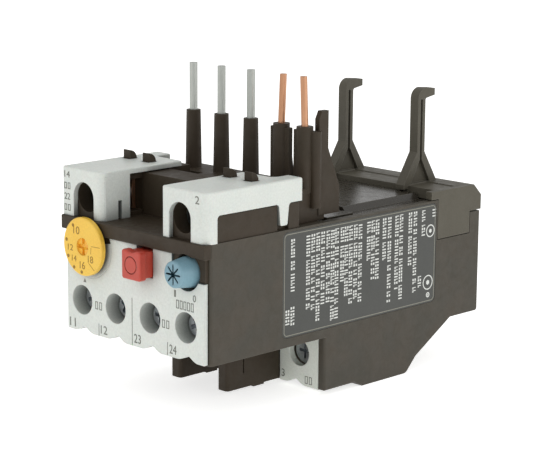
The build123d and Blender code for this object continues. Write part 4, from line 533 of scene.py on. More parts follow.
NODE_FINISHES: dict[Finish, tuple[str, ...]] = {
    HOUSING_POLYAMIDE: ("side_cover_left", "side_cover_right", "pole_base"),
    FRAME_POLYAMIDE: (
        "front_frame", "phase_barriers", "terminal_block_left", "terminal_block_right", "centre_block",
        "sleeve_carrier",
    ),
    DECK_POLYAMIDE: ("deck_cover",),
    BRACKET_POLYAMIDE: ("hook_bracket",),
    SHELL_POLYCARBONATE: ("fascia", "shroud_left", "shroud_right"),
    LIGHTENED_PLATE_POLYCARBONATE: ("main_terminal_faces",),
    DIAL_ACETAL: ("current_dial",),
    BUTTON_ACETAL: ("stop_button",),
    KNOB_ACETAL: ("reset_knob",),
    NATURAL_POLYAMIDE: (
        "setting_cam", "setting_lever", "reset_plunger", "trip_slide", "trip_lever", "contact_carrier",
        "reset_rocker",
    ),
    ZINC_STEEL: (
        "aux_screws", "aux_washers", "main_screws", "main_clamps", "upper_screws", "upper_washers",
        "setting_lever_pin", "trip_lever_pin", "reset_rocker_pin", "reset_clip",
    ),
    SPRING_STEEL: ("stop_spring", "reset_spring"),
    TINNED_COPPER: ("pole_pins",),
    BARE_COPPER: (
        "control_wires", "main_straps", "pole_leads", "wire_links", "upper_terminal_strips",
        "nc_contact_strips", "no_contact_strips", "nc_bridge", "no_bridge",
    ),
    BIMETAL: ("bimetal_strips", "heater_windings"),
}


@dataclass(frozen=True)
class Face:
    """A flat face of the relay: two directions on it and the level that it lies at, in metres."""

    right: Vector
    up: Vector
    level: float

    def matrix(self) -> Matrix:
        """Places a drawing on the face.

        Returns:
            The way from millimetres on the face to metres on the relay.
        """
        out = self.right.cross(self.up)
        turn = Matrix((self.right, self.up, out)).transposed().to_4x4()
        shift = Matrix.Translation(out * self.level)
        return shift @ turn @ Matrix.Scale(MM, 4)


def front_face(y: float) -> Face:
    """Returns the upright face that looks to the front from a place along Y, in metres."""
    return Face(X_AXIS, Z_AXIS, -y)


def finished_object(
    name: str, mesh_data: bmesh.types.BMesh, place: Matrix, body: Body,
    material: bpy.types.Material,
) -> bpy.types.Object:
    """Turns a bmesh into a piece of the relay.

    Args:
        name: Name of the piece.
        mesh_data: Shape in its own frame. It is freed.
        place: Takes the shape to its place on the relay.
        body: Body that the piece rides on.
        material: Finish of the piece.

    Returns:
        The object at the origin, with its place in its mesh.
    """
    bmesh.ops.transform(mesh_data, matrix=place, verts=mesh_data.verts[:])
    bmesh.ops.recalc_face_normals(mesh_data, faces=mesh_data.faces[:])
    mesh = bpy.data.meshes.new(name)
    mesh_data.to_mesh(mesh)
    mesh_data.free()
    mesh.materials.append(material)
    piece = bpy.data.objects.new(name, mesh)
    bpy.context.scene.collection.objects.link(piece)
    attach(piece, body.value)
    LOG.info("%s rides on %s, %d faces", name, body.value, len(mesh.polygons))
    return piece


def arc_points(radius: float, steps: int, start: float, turn: float) -> list[Vector]:
    """Lists points on an arc about the origin, with both its ends.

    Args:
        radius: Radius of the arc.
        steps: Number of steps.
        start: Angle of the first point.
        turn: Angle from the first point to the last.

    Returns:
        The points, anticlockwise when the turn is positive.
    """
    angles = [start + turn * step / steps for step in range(steps + 1)]
    return [Vector((radius * cos(angle), radius * sin(angle))) for angle in angles]


def rounded_outline(width: float, height: float, radius: float, steps: int = 6) -> list[Vector]:
    """Lists points round a rectangle with rounded corners, centred on the origin.

    Args:
        width: Size along the first axis.
        height: Size along the second axis.
        radius: Corner radius.
        steps: Number of steps in a corner.

    Returns:
        The points, anticlockwise.
    """
    spread = Vector((width / 2 - radius, height / 2 - radius))
    points = []
    for quarter, side in enumerate(((1, 1), (-1, 1), (-1, -1), (1, -1))):
        corner = arc_points(radius, steps, quarter * pi / 2, pi / 2)
        points += [point + spread * Vector(side) for point in corner]
    return points


def loop(
    mesh_data: bmesh.types.BMesh, points: Sequence[Vector], cap: bool = False,
) -> list[bmesh.types.BMEdge]:
    """Lays a closed loop through points at height zero.

    Args:
        mesh_data: Shape that takes the loop.
        points: Points in their order.
        cap: Whether a face fills the loop.

    Returns:
        The edges of the loop.
    """
    made = bmesh.ops.create_circle(mesh_data, cap_ends=cap, radius=1.0, segments=len(points))
    for vert, point in zip(made["verts"], points):
        vert.co = (point.x, point.y, 0.0)
    return list({edge for vert in made["verts"] for edge in vert.link_edges})


def raise_faces(mesh_data: bmesh.types.BMesh, thickness: float) -> None:
    """Gives flat faces a thickness, upwards.

    Args:
        mesh_data: Flat faces at height zero.
        thickness: Height of the finished shape.
    """
    made = bmesh.ops.extrude_face_region(mesh_data, geom=mesh_data.faces[:], use_keep_orig=True)
    tops = [item for item in made["geom"] if isinstance(item, bmesh.types.BMVert)]
    bmesh.ops.translate(mesh_data, vec=(0.0, 0.0, thickness), verts=tops)


@dataclass
class InkLayer:
    """One colour of print on one face: bars, lines, discs, rings and plain numbers.

    Sizes are millimetres on the face, and the ink is a closed sheet of its real thickness.
    """

    name: str
    face: Face
    ink: PrintInk
    body: Body
    slot: str
    sunk: float = 0.01
    thickness: float = 0.03
    stroke: float = 0.16
    drawing: bmesh.types.BMesh = field(default_factory=bmesh.new)

    def bar(self, centre: Sequence[float], width: float, height: float, turn: float = 0.0) -> None:
        """Draws a filled rectangle.

        Args:
            centre: Its middle.
            width: Its size along the face's first direction, before it is turned.
            height: Its size the other way.
            turn: Angle that it is turned by, anticlockwise.
        """
        spot = Matrix.Translation((*centre, 0.0)) @ Matrix.Rotation(turn, 4, "Z")
        place = spot @ Matrix.Diagonal((width, height, 1.0, 1.0))
        bmesh.ops.create_grid(self.drawing, x_segments=1, y_segments=1, size=0.5, matrix=place)

    def line(self, start: Sequence[float], end: Sequence[float], width: float) -> None:
        """Draws a straight line of even width.

        Args:
            start: Where it starts.
            end: Where it ends.
            width: Width of the line.
        """
        run = Vector(end) - Vector(start)
        turn = -Vector((1.0, 0.0)).angle_signed(run)
        self.bar((Vector(start) + Vector(end)) / 2, run.length, width, turn)

    def hollow_mark(self, centre: Sequence[float], width: float, height: float) -> None:
        """Draws an empty upright frame, which stands for a letter.

        Args:
            centre: Its middle.
            width: Its outer width.
            height: Its outer height.
        """
        x, z = centre
        for side in (-0.5, 0.5):
            self.bar((x + side * (width - self.stroke), z), self.stroke, height)
            self.bar((x, z + side * (height - self.stroke)), width - 2 * self.stroke, self.stroke)

    def disc(self, centre: Sequence[float], radius: float, sides: int = 20) -> None:
        """Draws a filled disc, or a regular shape with few sides."""
        place = Matrix.Translation((*centre, 0.0))
        bmesh.ops.create_circle(self.drawing, cap_ends=True, radius=radius, segments=sides, matrix=place)

    def ring(self, centre: Sequence[float], radius: float, width: float, sides: int = 36) -> None:
        """Draws a ring.

        Args:
            centre: Its middle.
            radius: Its outer radius.
            width: Width of the line.
            sides: Number of steps round it.
        """
        place = Matrix.Translation((*centre, 0.0))
        rims = []
        for reach in (radius, radius - width):
            rim = bmesh.ops.create_circle(self.drawing, radius=reach, segments=sides, matrix=place)
            rims += {edge for vert in rim["verts"] for edge in vert.link_edges}
        bmesh.ops.bridge_loops(self.drawing, edges=rims)

    def number(self, text: str, low: Sequence[float], high: Sequence[float]) -> None:
        """Draws a plain number that fills a box.

        Args:
            text: Digits of the number.
            low: Lower left corner of the box.
            high: Upper right corner of the box.
        """
        curve = bpy.data.curves.new(self.name, "FONT")
        curve.body = text
        carrier = bpy.data.objects.new(self.name, curve)
        flat = bpy.data.meshes.new_from_object(carrier)
        lows = [min(vert.co[axis] for vert in flat.vertices) for axis in (0, 1)]
        highs = [max(vert.co[axis] for vert in flat.vertices) for axis in (0, 1)]
        scale = [(high[axis] - low[axis]) / (highs[axis] - lows[axis]) for axis in (0, 1)]
        fit = Matrix.Diagonal((*scale, 1.0, 1.0)) @ Matrix.Translation((-lows[0], -lows[1], 0.0))
        flat.transform(Matrix.Translation((*low, 0.0)) @ fit)
        self.drawing.from_mesh(flat)
        bpy.data.objects.remove(carrier)
        bpy.data.curves.remove(curve)
        bpy.data.meshes.remove(flat)

    def fill(self, numbers: Sequence[NumberBox], marks: Sequence[MarkBox] = ()) -> None:
        """Draws several plain numbers and empty frames.

        Args:
            numbers: Numbers with their boxes.
            marks: Empty frames.
        """
        for text, low, high in numbers:
            self.number(text, low, high)
        for x, z, width, height in marks:
            self.hollow_mark((x, z), width, height)

    def greeking(self, column: float, top: float, bottom: float, cap: float, chance: random.Random) -> None:
        """Draws a downward run of abstract marks, grouped like words, that spell nothing.

        Args:
            column: Middle of the run across its direction.
            top: Where the run starts.
            bottom: Where the run ends.
            cap: Height of the marks, across the run.
            chance: Source of the varied marks and word lengths.
        """
        pitch = cap * GREEK_PITCH
        here = top
        left_in_word = chance.randint(*GREEK_FIRST_WORD)
        while here - pitch > bottom:
            middle = here - pitch / 2
            for across, along, width, height in chance.choice(GREEK_LETTERS):
                self.bar((column + across * cap, middle + along * pitch), width * cap, height * pitch)
            here -= pitch
            left_in_word -= 1
            if left_in_word == 0:
                here -= pitch * GREEK_SPACE
                left_in_word = chance.randint(*GREEK_WORD)

    def make(self) -> bpy.types.Object:
        """Raises the drawing to the thickness of the ink and lays it on its face.

        Returns:
            The print.
        """
        raise_faces(self.drawing, self.thickness + self.sunk)
        place = self.face.matrix() @ Matrix.Translation((0.0, 0.0, -self.sunk))
        return finished_object(self.name, self.drawing, place, self.body, self.ink.build())


@dataclass
class Studio:
    """Camera, lamps, world and floor of the picture, in metres.

    The camera was fitted to the edges of the object at a frame of 540 by 450.
    """

    focal_length: float = 127.0
    nearest: float = 0.01
    place: tuple[float, float, float] = (0.2925, -0.29395, 0.1186)
    right: tuple[float, float, float] = (0.70694, 0.70727, 0.00663)
    up: tuple[float, float, float] = (-0.14689, 0.13764, 0.97955)
    aim: tuple[float, float, float] = (0.0, 0.0, 0.03)
    key_place: tuple[float, float, float] = (-0.22, -0.62, 0.3)
    key_power: float = 0.2
    key_size: float = 0.45
    fill_place: tuple[float, float, float] = (0.62, 0.1, 0.2)
    fill_power: float = 0.55
    fill_size: float = 0.5
    world_strength: float = 0.76
    floor_half: float = 3.0
    floor_colour: str = "#e8e8e6"
    floor_light: float = 0.55
    floor_glow: float = 0.7
    white: tuple[float, float, float, float] = (1.0, 1.0, 1.0, 1.0)

    def camera(self) -> None:
        """Sets the camera at the photograph's viewing angle."""
        data = bpy.data.cameras.new("camera")
        data.lens = self.focal_length
        data.clip_start = self.nearest
        camera = bpy.data.objects.new("camera", data)
        bpy.context.scene.collection.objects.link(camera)
        right = Vector(self.right).normalized()
        back = right.cross(Vector(self.up)).normalized()
        turn = Matrix((right, back.cross(right), back)).transposed().to_4x4()
        camera.matrix_world = Matrix.Translation(self.place) @ turn
        bpy.context.scene.camera = camera

    def lamp(self, name: str, place: Sequence[float], power: float, size: float) -> None:
        """Adds a square lamp that shines at the middle of the relay.

        Args:
            name: Name of the lamp.
            place: Where it stands.
            power: Power in watts.
            size: Side of the lamp.
        """
        data = bpy.data.lights.new(name, "AREA")
        data.energy = power
        data.size = size
        lamp = bpy.data.objects.new(name, data)
        bpy.context.scene.collection.objects.link(lamp)
        lamp.location = place
        lamp.rotation_euler = (Vector(self.aim) - Vector(place)).to_track_quat("-Z", "Y").to_euler()

    def glow(self, tree: bpy.types.NodeTree, light: float, seen: float) -> bpy.types.NodeSocket:
        """Adds a strength that differs between what the camera sees and what lights the relay.

        Args:
            tree: Tree that takes the nodes.
            light: Strength that lights the relay.
            seen: Strength that the camera sees.

        Returns:
            The strength.
        """
        eye = add_node(tree, "ShaderNodeLightPath").outputs["Is Camera Ray"]
        return add_node(tree, "ShaderNodeMapRange", None, {
            "Value": eye, "To Min": light, "To Max": seen,
        }).outputs["Result"]

    def world(self) -> None:
        """Makes the even surroundings, white where they are seen, plain where they light."""
        world = bpy.data.worlds.new("studio")
        world.use_nodes = True
        tree = world.node_tree
        tree.nodes.clear()
        light = add_node(tree, "ShaderNodeBackground", None, {
            "Color": self.white, "Strength": self.glow(tree, self.world_strength, 1.0),
        })
        add_node(tree, "ShaderNodeOutputWorld", None, {"Surface": light.outputs["Background"]})
        bpy.context.scene.world = world

    def floor(self) -> None:
        """Lays a pale paper on a softly lit table, which keeps the relay's shadow."""
        sheet = bmesh.new()
        bmesh.ops.create_grid(sheet, x_segments=2, y_segments=2, size=self.floor_half)
        mesh = bpy.data.meshes.new("floor")
        sheet.to_mesh(mesh)
        sheet.free()
        floor = bpy.data.objects.new("floor", mesh)
        bpy.context.scene.collection.objects.link(floor)
        material, tree = new_material("white_paper")
        paper = add_node(tree, "ShaderNodeBsdfPrincipled", None, {
            "Base Color": linear(self.floor_colour), "Roughness": 0.9, "Emission Color": self.white,
            "Emission Strength": self.glow(tree, self.floor_light, self.floor_glow),
        })
        add_node(tree, "ShaderNodeOutputMaterial", None, {"Surface": paper.outputs["BSDF"]})
        mesh.materials.append(material)

    def build(self) -> None:
        """Sets up the whole studio."""
        bpy.context.scene.view_settings.view_transform = "Standard"
        self.camera()
        self.world()
        self.lamp("key", self.key_place, self.key_power, self.key_size)
        self.lamp("fill", self.fill_place, self.fill_power, self.fill_size)
        self.floor()
        LOG.info("studio is set")


@dataclass
class Solids:
    """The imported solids, which keep their shapes and get their finishes."""

    finishes: Mapping[Finish, tuple[str, ...]] = field(default_factory=lambda: NODE_FINISHES)

    def dress(self) -> None:
        """Gives every solid its material."""
        for finish, names in self.finishes.items():
            material = finish.build()
            for name in names:
                self.dress_node(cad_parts[name], material)
            LOG.info("%s on %s", finish.name, ", ".join(names))

    def dress_node(self, node: bpy.types.Object, material: bpy.types.Material) -> None:
        """Puts one material in all slots of a solid.

        Args:
            node: Object of the solid.
            material: Its finish.
        """
        if not node.material_slots:
            node.data.materials.append(material)
        for slot in node.material_slots:
            slot.material = material


@dataclass(frozen=True)
class DrivenHead:
    """Turned piece with a star recess for a screwdriver in its front face.

    The profile runs from the front outwards and back, as (radius, distance behind the front).
    """

    profile: tuple[Point, ...]
    arms: int
    reach: float
    half_width: float
    depth: float
    steps: int = 96

    def star_radius(self, angle: float) -> float:
        """Gives the distance from the middle to the edge of the star.

        Args:
            angle: Direction from the middle.

        Returns:
            The distance.
        """
        step = 2 * pi / self.arms
        off = abs((angle + step / 2) % step - step / 2)
        return min(self.reach / cos(off), self.half_width / max(sin(off), TINY))

    def shape(self) -> bmesh.types.BMesh:
        """Makes the piece, ring by ring from the bottom of its recess to its rear.

        Returns:
            The closed piece with its front at height zero, looking upwards.
        """
        shape = bmesh.new()
        rim = bmesh.ops.create_circle(shape, cap_ends=True, radius=1.0, segments=self.steps)["verts"]
        self.lay(rim, None, -self.depth)
        for radius, height in [(None, 0.0), *[(radius, -back) for radius, back in self.profile]]:
            grown = bmesh.ops.extrude_edge_only(shape, edges=self.edges_round(shape, rim))["geom"]
            rim = [item for item in grown if isinstance(item, bmesh.types.BMVert)]
            self.lay(rim, radius, height)
        bmesh.ops.edgeloop_fill(shape, edges=self.edges_round(shape, rim))
        return shape

    def edges_round(
        self, shape: bmesh.types.BMesh, rim: Sequence[bmesh.types.BMVert],
    ) -> list[bmesh.types.BMEdge]:
        """Lists the edges between the points of a ring.

        Args:
            shape: Shape with the ring.
            rim: Points of the ring.

        Returns:
            The edges.
        """
        around = set(rim)
        return [edge for edge in shape.edges if around.issuperset(edge.verts)]

    def lay(self, rim: Sequence[bmesh.types.BMVert], radius: float | None, height: float) -> None:
        """Moves a ring of points outwards or inwards, each in its own direction.

        Args:
            rim: Points of the ring.
            radius: Radius of the circle that they go to, or none for the edge of the star.
            height: Height of the ring.
        """
        for vert in rim:
            angle = atan2(vert.co.y, vert.co.x)
            reach = self.star_radius(angle) if radius is None else radius
            vert.co = (reach * cos(angle), reach * sin(angle), height)


@dataclass
class ResetKnob:
    """Pale blue knob, a little slimmer at its front than the plain solid that it stands for."""

    centre: Point = (16.5, 32.0)
    set_back: float = 0.6
    front_radius: float = 2.75
    edge: float = 0.22

    def build(self) -> None:
        """Makes the knob over its whole length."""
        low, high = (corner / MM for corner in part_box("reset_knob"))
        front = low.y + self.set_back
        head = DrivenHead(
            profile=(
                (self.front_radius - self.edge, 0.0), (self.front_radius, self.edge),
                ((high.z - low.z) / 2, high.y - front),
            ),
            arms=8, reach=2.15, half_width=0.21, depth=1.0,
        )
        place = front_face(front * MM).matrix() @ Matrix.Translation((*self.centre, 0.0))
        finish = KNOB_ACETAL.build()
        knob = finished_object("reset_knob_cap", head.shape(), place, Body.KNOB, finish)
        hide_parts("reset_knob")


@dataclass
class AuxScrews:
    """Four cross-recessed clamp screws whose heads stand up into the fascia's funnels."""

    places: tuple[float, ...] = (-16.4, -5.5, 5.4, 16.35)
    height: float = 20.4
    head_depth: float = 2.9
    head_radius: float = 2.5
    head_edge: float = 0.3
    shank_radius: float = 1.6
    seat: float = 6.3
    turn_step: float = 0.5

    def build(self) -> None:
        """Makes each screw with its head, its shank and its recess."""
        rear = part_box("aux_screws")[1].y / MM - FASCIA_Y - self.head_depth
        seat = self.seat - self.head_depth
        head = DrivenHead(
            profile=(
                (self.head_radius - self.head_edge, 0.0), (self.head_radius, self.head_edge),
                (self.head_radius, seat), (self.shank_radius, seat), (self.shank_radius, rear),
            ),
            arms=4, reach=1.75, half_width=0.42, depth=1.1,
        )
        metal = ZINC_STEEL.build()
        face = front_face((FASCIA_Y + self.head_depth) * MM)
        for number, place in enumerate(self.places, start=1):
            spot = face.matrix() @ Matrix.Translation((place, self.height, 0.0))
            turned = spot @ Matrix.Rotation(self.turn_step * number, 4, "Z")
            name = f"aux_screw_{number}"
            screw = finished_object(name, head.shape(), turned, Body.HOUSING, metal)
            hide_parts("aux_screws")


@dataclass
class ButtonSprings:
    """Wound springs of the two buttons. On the relay they close up when a button is pressed; here each is a
    still coil on the housing.
    """

    joints: tuple[tuple[str, str], ...] = (("stop_spring", "stop_press"), ("reset_spring", "reset_press"))
    travel: float = 1.6
    wire_radius: float = 0.22
    turns: int = 4
    steps: int = 24
    sides: int = 8

    def build(self) -> None:
        """Makes each spring in the place of its rigid solid, riding on the housing."""
        metal = SPRING_STEEL.build()
        for node, joint in self.joints:
            low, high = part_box(node)
            size = (high - low) / MM
            middle = (low + high) / 2 / MM
            place = front_face(high.y).matrix() @ Matrix.Translation((middle.x, middle.z, 0.0))
            coil = self.coil(size.x / 2 - self.wire_radius, size.y - 2 * self.wire_radius)
            spring = finished_object(f"{node}_coil", coil, place, Body.HOUSING, metal)
            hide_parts(node)
            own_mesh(spring)

    def coil(self, radius: float, rise: float) -> bmesh.types.BMesh:
        """Winds the wire round the upright axis.

        Args:
            radius: Radius of the wire's centre line.
            rise: Height from the first to the last point of the centre line.

        Returns:
            The closed wire, standing on height zero.
        """
        coil = bmesh.new()
        start = Matrix.Translation((radius, 0.0, self.wire_radius)) @ Matrix.Rotation(pi / 2, 4, "X")
        bmesh.ops.create_circle(coil, radius=self.wire_radius, segments=self.sides, matrix=start)
        count = self.turns * self.steps
        bmesh.ops.spin(
            coil, geom=coil.edges[:], cent=(0.0, 0.0, 0.0), axis=Z_AXIS, dvec=(0.0, 0.0, rise / count),
            angle=2 * pi * self.turns, steps=count, use_merge=False, use_duplicate=False,
        )
        ends = [edge for edge in coil.edges if edge.is_boundary]
        bmesh.ops.holes_fill(coil, edges=ends, sides=self.sides)
        return coil


@dataclass
class MouldedTrim:
    """Light grey details of the fascia and the shrouds: the lip under the dial and the sharp corners."""

    lip_turn: Point = (-128.0, 12.0)
    lip_inner: float = 4.2
    lip_outer: float = 7.02
    lip_thickness: float = 0.3
    lip_steps: int = 36
    proud: float = 0.02
    corner: float = 2.0
    corner_edge: float = 0.3
    corner_overlap: float = 0.5
    sharp_steps: int = 4
    round_steps: int = 10
    crest_edge: float = 0.35
    inside: float = 0.01
    shrouds: tuple[str, ...] = ("shroud_left", "shroud_right")

    def build(self) -> None:
        """Makes the lip and the two corners."""
        shell = SHELL_POLYCARBONATE.build()
        self.build_lip(shell)
        for name in self.shrouds:
            self.build_corner(name, shell)

    def build_lip(self, shell: bpy.types.Material) -> None:
        """Makes the part of the fascia that reaches in under the dial.

        Args:
            shell: Finish of the fascia.
        """
        low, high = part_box("current_dial")
        centre = (low + high) / 2 / MM
        start, end = (radians(angle) for angle in self.lip_turn)
        outline = arc_points(self.lip_outer, self.lip_steps, start, end - start)
        outline += arc_points(self.lip_inner, self.lip_steps, end, start - end)
        lip = bmesh.new()
        loop(lip, outline, cap=True)
        raise_faces(lip, self.lip_thickness)
        sink = Matrix.Translation((centre.x, centre.z, self.proud - self.lip_thickness))
        place = front_face(FASCIA_Y * MM).matrix() @ sink
        finished_object("dial_lip", lip, place, Body.HOUSING, shell)

    def build_corner(self, name: str, shell: bpy.types.Material) -> None:
        """Makes the upright left front corner of a shroud.

        Args:
            name: Node of the shroud.
            shell: Finish of the shroud.
        """
        low, high = (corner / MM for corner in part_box(name))
        reach = self.corner
        small = self.corner_edge
        height = high.z - low.z - self.inside
        sharp = arc_points(small, self.sharp_steps, 1.5 * pi, -pi / 2)
        round_back = arc_points(reach - self.corner_overlap, self.round_steps, pi, pi / 2)
        outline = [point + Vector((small, small)) for point in sharp]
        outline.append(Vector((0.0, reach)))
        outline += [point + Vector((reach, reach)) for point in round_back]
        outline.append(Vector((reach, 0.0)))
        wedge = bmesh.new()
        loop(wedge, outline, cap=True)
        raise_faces(wedge, height)
        crest = [edge for edge in wedge.edges if self.is_outer_crest(edge, height - self.inside)]
        bmesh.ops.bevel(
            wedge, geom=crest, offset=self.crest_edge, offset_type="OFFSET", affect="EDGES", segments=3,
            profile=0.5, material=-1,
        )
        spot = Matrix.Translation((low.x + self.inside, low.y + self.inside, low.z))
        finished_object(
            f"{name}_corner", wedge, Matrix.Scale(MM, 4) @ spot, Body.HOUSING, shell,
        )

    def is_outer_crest(self, edge: bmesh.types.BMEdge, height: float) -> bool:
        """Tells whether an edge lies on the outer rim of a corner, above a height."""
        return all(vert.co.z > height and min(vert.co.x, vert.co.y) < self.corner_edge for vert in edge.verts)


@dataclass
class RatingLabel:
    """Dark film label on the right side, with greeked text columns and two plain rings.

    The marks are abstract and spell nothing. Columns run downwards, as (place along the side, top,
    bottom), in millimetres from the fascia and from the floor, and rings are (place, height, radius).
    """

    front: float = 21.8
    rear: float = 70.8
    low: float = 15.1
    high: float = 37.7
    corner: float = 1.3
    recess: float = 0.15
    film: float = 0.08
    ink: float = 0.02
    border: float = 0.18
    border_inset: float = 0.35
    cap: float = 1.15
    seed: int = 11
    columns: tuple[tuple[float, float, float], ...] = (
        (24.7, 36.2, 24.6), (24.7, 21.7, 17.3), (23.2, 21.2, 17.6),
        (29.3, 36.4, 19.7), (30.8, 36.4, 19.8), (32.3, 36.5, 16.9), (33.8, 36.5, 20.4), (35.4, 36.5, 20.3),
        (36.8, 36.5, 16.2), (38.1, 36.6, 16.5), (39.8, 36.6, 23.8), (41.1, 36.6, 20.6), (42.5, 36.6, 18.9),
        (44.0, 36.6, 20.0), (45.5, 36.5, 18.0), (48.2, 36.7, 26.8), (49.6, 36.7, 23.0), (51.0, 36.7, 23.2),
        (53.3, 36.7, 27.0), (55.0, 36.7, 17.2), (57.4, 36.7, 19.2), (58.9, 36.8, 16.8), (61.9, 36.8, 24.2),
        (63.6, 36.8, 17.5), (66.4, 36.7, 30.0), (65.4, 21.8, 18.2), (70.0, 36.6, 34.2),
    )
    rings: tuple[tuple[float, float, float], ...] = ((68.8, 31.6, 1.45), (68.3, 19.8, 1.7), (68.4, 16.9, 0.6))
    ring_width: float = 0.26
    ring_heart: float = 0.34

    def face(self) -> Face:
        """Returns the floor of the label's sunken place on the side cover."""
        return Face(Y_AXIS, Z_AXIS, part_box("side_cover_right")[1].x - self.recess * MM)

    def centre(self) -> Point:
        """Returns the middle of the label along the side and in height, in millimetres."""
        return ((self.front + self.rear) / 2 + FASCIA_Y, (self.low + self.high) / 2)

    def build(self) -> None:
        """Makes the film, its border and its print."""
        place = self.face().matrix() @ Matrix.Translation((*self.centre(), 0.0))
        width = self.rear - self.front
        height = self.high - self.low
        film = bmesh.new()
        loop(film, rounded_outline(width, height, self.corner), cap=True)
        raise_faces(film, self.film)
        finished_object("rating_label", film, place, Body.HOUSING, LABEL_FILM.build())
        self.build_border(width - 2 * self.border_inset, height - 2 * self.border_inset, place)
        self.build_text()

    def build_border(self, width: float, height: float, place: Matrix) -> None:
        """Makes the thin printed frame line of the label.

        Args:
            width: Length of the frame along the side.
            height: Height of the frame.
            place: Takes the frame to the middle of the label.
        """
        line = bmesh.new()
        corner = self.corner - self.border_inset
        inset = 2 * self.border
        rims = loop(line, rounded_outline(width, height, corner))
        rims += loop(line, rounded_outline(width - inset, height - inset, corner - self.border))
        bmesh.ops.bridge_loops(line, edges=rims)
        raise_faces(line, self.film + self.ink)
        finished_object("label_border", line, place, Body.HOUSING, BORDER_INK.build())

    def build_text(self) -> None:
        """Prints the columns and the rings, with the same marks in every run."""
        chance = random.Random(self.seed)
        text = InkLayer(
            "label_print", self.face(), WHITE_INK, Body.HOUSING, "light_housing", sunk=0.0,
            thickness=self.film + self.ink,
        )
        for place, top, bottom in self.columns:
            text.greeking(place + FASCIA_Y, top, bottom, self.cap, chance)
        for place, height, radius in self.rings:
            text.ring((place + FASCIA_Y, height), radius, self.ring_width)
            text.disc((place + FASCIA_Y, height), radius * self.ring_heart, sides=6)
        text.make()


@dataclass
class FasciaPrint:
    """Plain numbers, bars and thin lines on the light front plate."""

    numbers: tuple[NumberBox, ...] = (
        ("11", (-20.7, 14.0), (-18.8, 15.9)), ("12", (-10.4, 14.1), (-8.3, 15.9)),
        ("23", (0.4, 14.2), (2.5, 16.1)), ("24", (11.4, 14.1), (13.5, 16.0)),
        ("1", (12.9, 26.3), (13.4, 27.7)), ("0", (18.5, 26.2), (19.4, 27.6)),
    )
    marks: tuple[MarkBox, ...] = (
        (-11.7, 20.0, 0.85, 1.7), (-10.4, 20.0, 0.85, 1.7), (9.6, 20.0, 0.85, 1.7), (10.9, 20.0, 0.85, 1.7),
        (13.9, 24.9, 0.8, 1.8), (15.0, 24.9, 0.8, 1.8), (16.1, 24.9, 0.8, 1.8), (17.2, 24.9, 0.8, 1.8),
        (18.3, 24.9, 0.8, 1.8),
    )
    separators: tuple[tuple[float, float, float], ...] = (
        (-11.0, 13.5, 16.1), (-0.2, 13.5, 23.7), (10.8, 13.6, 16.3),
    )
    separator_width: float = 0.14
    pointer: Point = (-15.5, 24.7)
    pointer_radius: float = 0.55

    def build(self) -> None:
        """Makes the print."""
        face = front_face(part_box("fascia")[0].y)
        layer = InkLayer("fascia_print", face, DARK_INK, Body.HOUSING, "dark_housing")
        layer.fill(self.numbers, self.marks)
        for x, low, high in self.separators:
            layer.line((x, low), (x, high), self.separator_width)
        layer.disc(self.pointer, self.pointer_radius, sides=3)
        layer.make()


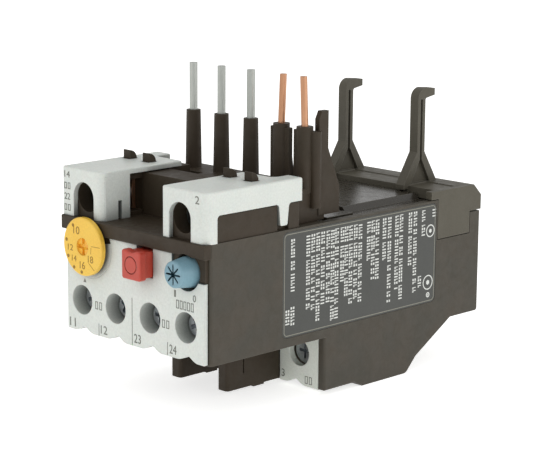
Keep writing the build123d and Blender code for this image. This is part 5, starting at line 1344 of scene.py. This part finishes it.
@dataclass
class DialPrint:
    """Scale of the setting dial: dots at the rim, plain numbers and sector lines."""

    dots: tuple[Point, ...] = ((-16.8, 37.0), (-19.0, 33.6), (-18.5, 30.1), (-16.6, 27.9), (-14.1, 27.2))
    dot_radius: float = 0.38
    numbers: tuple[NumberBox, ...] = (
        ("10", (-16.7, 35.2), (-14.7, 36.9)), ("12", (-18.6, 31.4), (-16.9, 32.7)),
        ("14", (-17.3, 29.2), (-15.8, 30.5)), ("16", (-14.7, 27.9), (-13.0, 29.5)),
        ("18", (-12.0, 29.6), (-10.3, 31.1)),
    )
    lines: tuple[tuple[Point, Point], ...] = (
        ((-10.9, 33.2), (-8.1, 33.3)), ((-10.95, 32.9), (-11.05, 31.5)), ((-11.8, 29.5), (-9.95, 28.1)),
    )
    line_width: float = 0.1

    def build(self) -> None:
        """Makes the print."""
        face = front_face(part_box("current_dial")[0].y)
        layer = InkLayer("dial_print", face, DIAL_INK, Body.DIAL, "dial_yellow")
        for dot in self.dots:
            layer.disc(dot, self.dot_radius)
        layer.fill(self.numbers)
        for start, end in self.lines:
            layer.line(start, end, self.line_width)
        layer.make()


@dataclass
class ShroudPrint:
    """Plain numbers on the front of the two light shrouds."""

    numbers: tuple[NumberBox, ...] = (
        ("14", (-21.9, 46.5), (-20.1, 47.9)), ("22", (-22.0, 41.7), (-20.1, 43.1)),
        ("2", (19.2, 46.4), (20.4, 48.0)),
    )
    marks: tuple[MarkBox, ...] = (
        (-21.6, 44.7, 0.8, 1.4), (-20.4, 44.7, 0.8, 1.4), (-21.6, 40.0, 0.8, 1.4), (-20.4, 40.0, 0.8, 1.4),
    )

    def build(self) -> None:
        """Makes the print."""
        face = front_face(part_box("shroud_left")[0].y)
        layer = InkLayer("shroud_print", face, DARK_INK, Body.HOUSING, "dark_housing")
        layer.fill(self.numbers, self.marks)
        layer.make()


@dataclass
class TerminalPrint:
    """A plain number and two empty frames under the screw hole of each main terminal."""

    digits: str = "123"
    pitch: float = 14.6
    left: float = -5.2
    low: float = 1.9
    digit_width: float = 0.9
    height: float = 1.7
    marks: tuple[float, ...] = (7.5, 8.75)
    mark_width: float = 0.85
    mark_share: float = 0.35

    def build(self) -> None:
        """Makes the print."""
        face = front_face(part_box("main_terminal_faces")[0].y)
        layer = InkLayer("terminal_print", face, DARK_INK, Body.HOUSING, "dark_housing")
        for index, text in enumerate(self.digits):
            left = (index - 1) * self.pitch + self.left
            layer.number(text, (left, self.low), (left + self.digit_width, self.low + self.height))
            for mark in self.marks:
                middle = (left + mark, self.low + self.height * self.mark_share)
                layer.hollow_mark(middle, self.mark_width, self.height)
        layer.make()


def main() -> None:
    """Builds the picture of the relay, one sub-assembly at a time."""
    logging.basicConfig(level=logging.INFO, format="%(message)s")
    Studio().build()
    Solids().dress()
    MouldedTrim().build()
    AuxScrews().build()
    ButtonSprings().build()
    ResetKnob().build()
    RatingLabel().build()
    FasciaPrint().build()
    DialPrint().build()
    ShroudPrint().build()
    TerminalPrint().build()


if __name__ == "__main__":
    main()
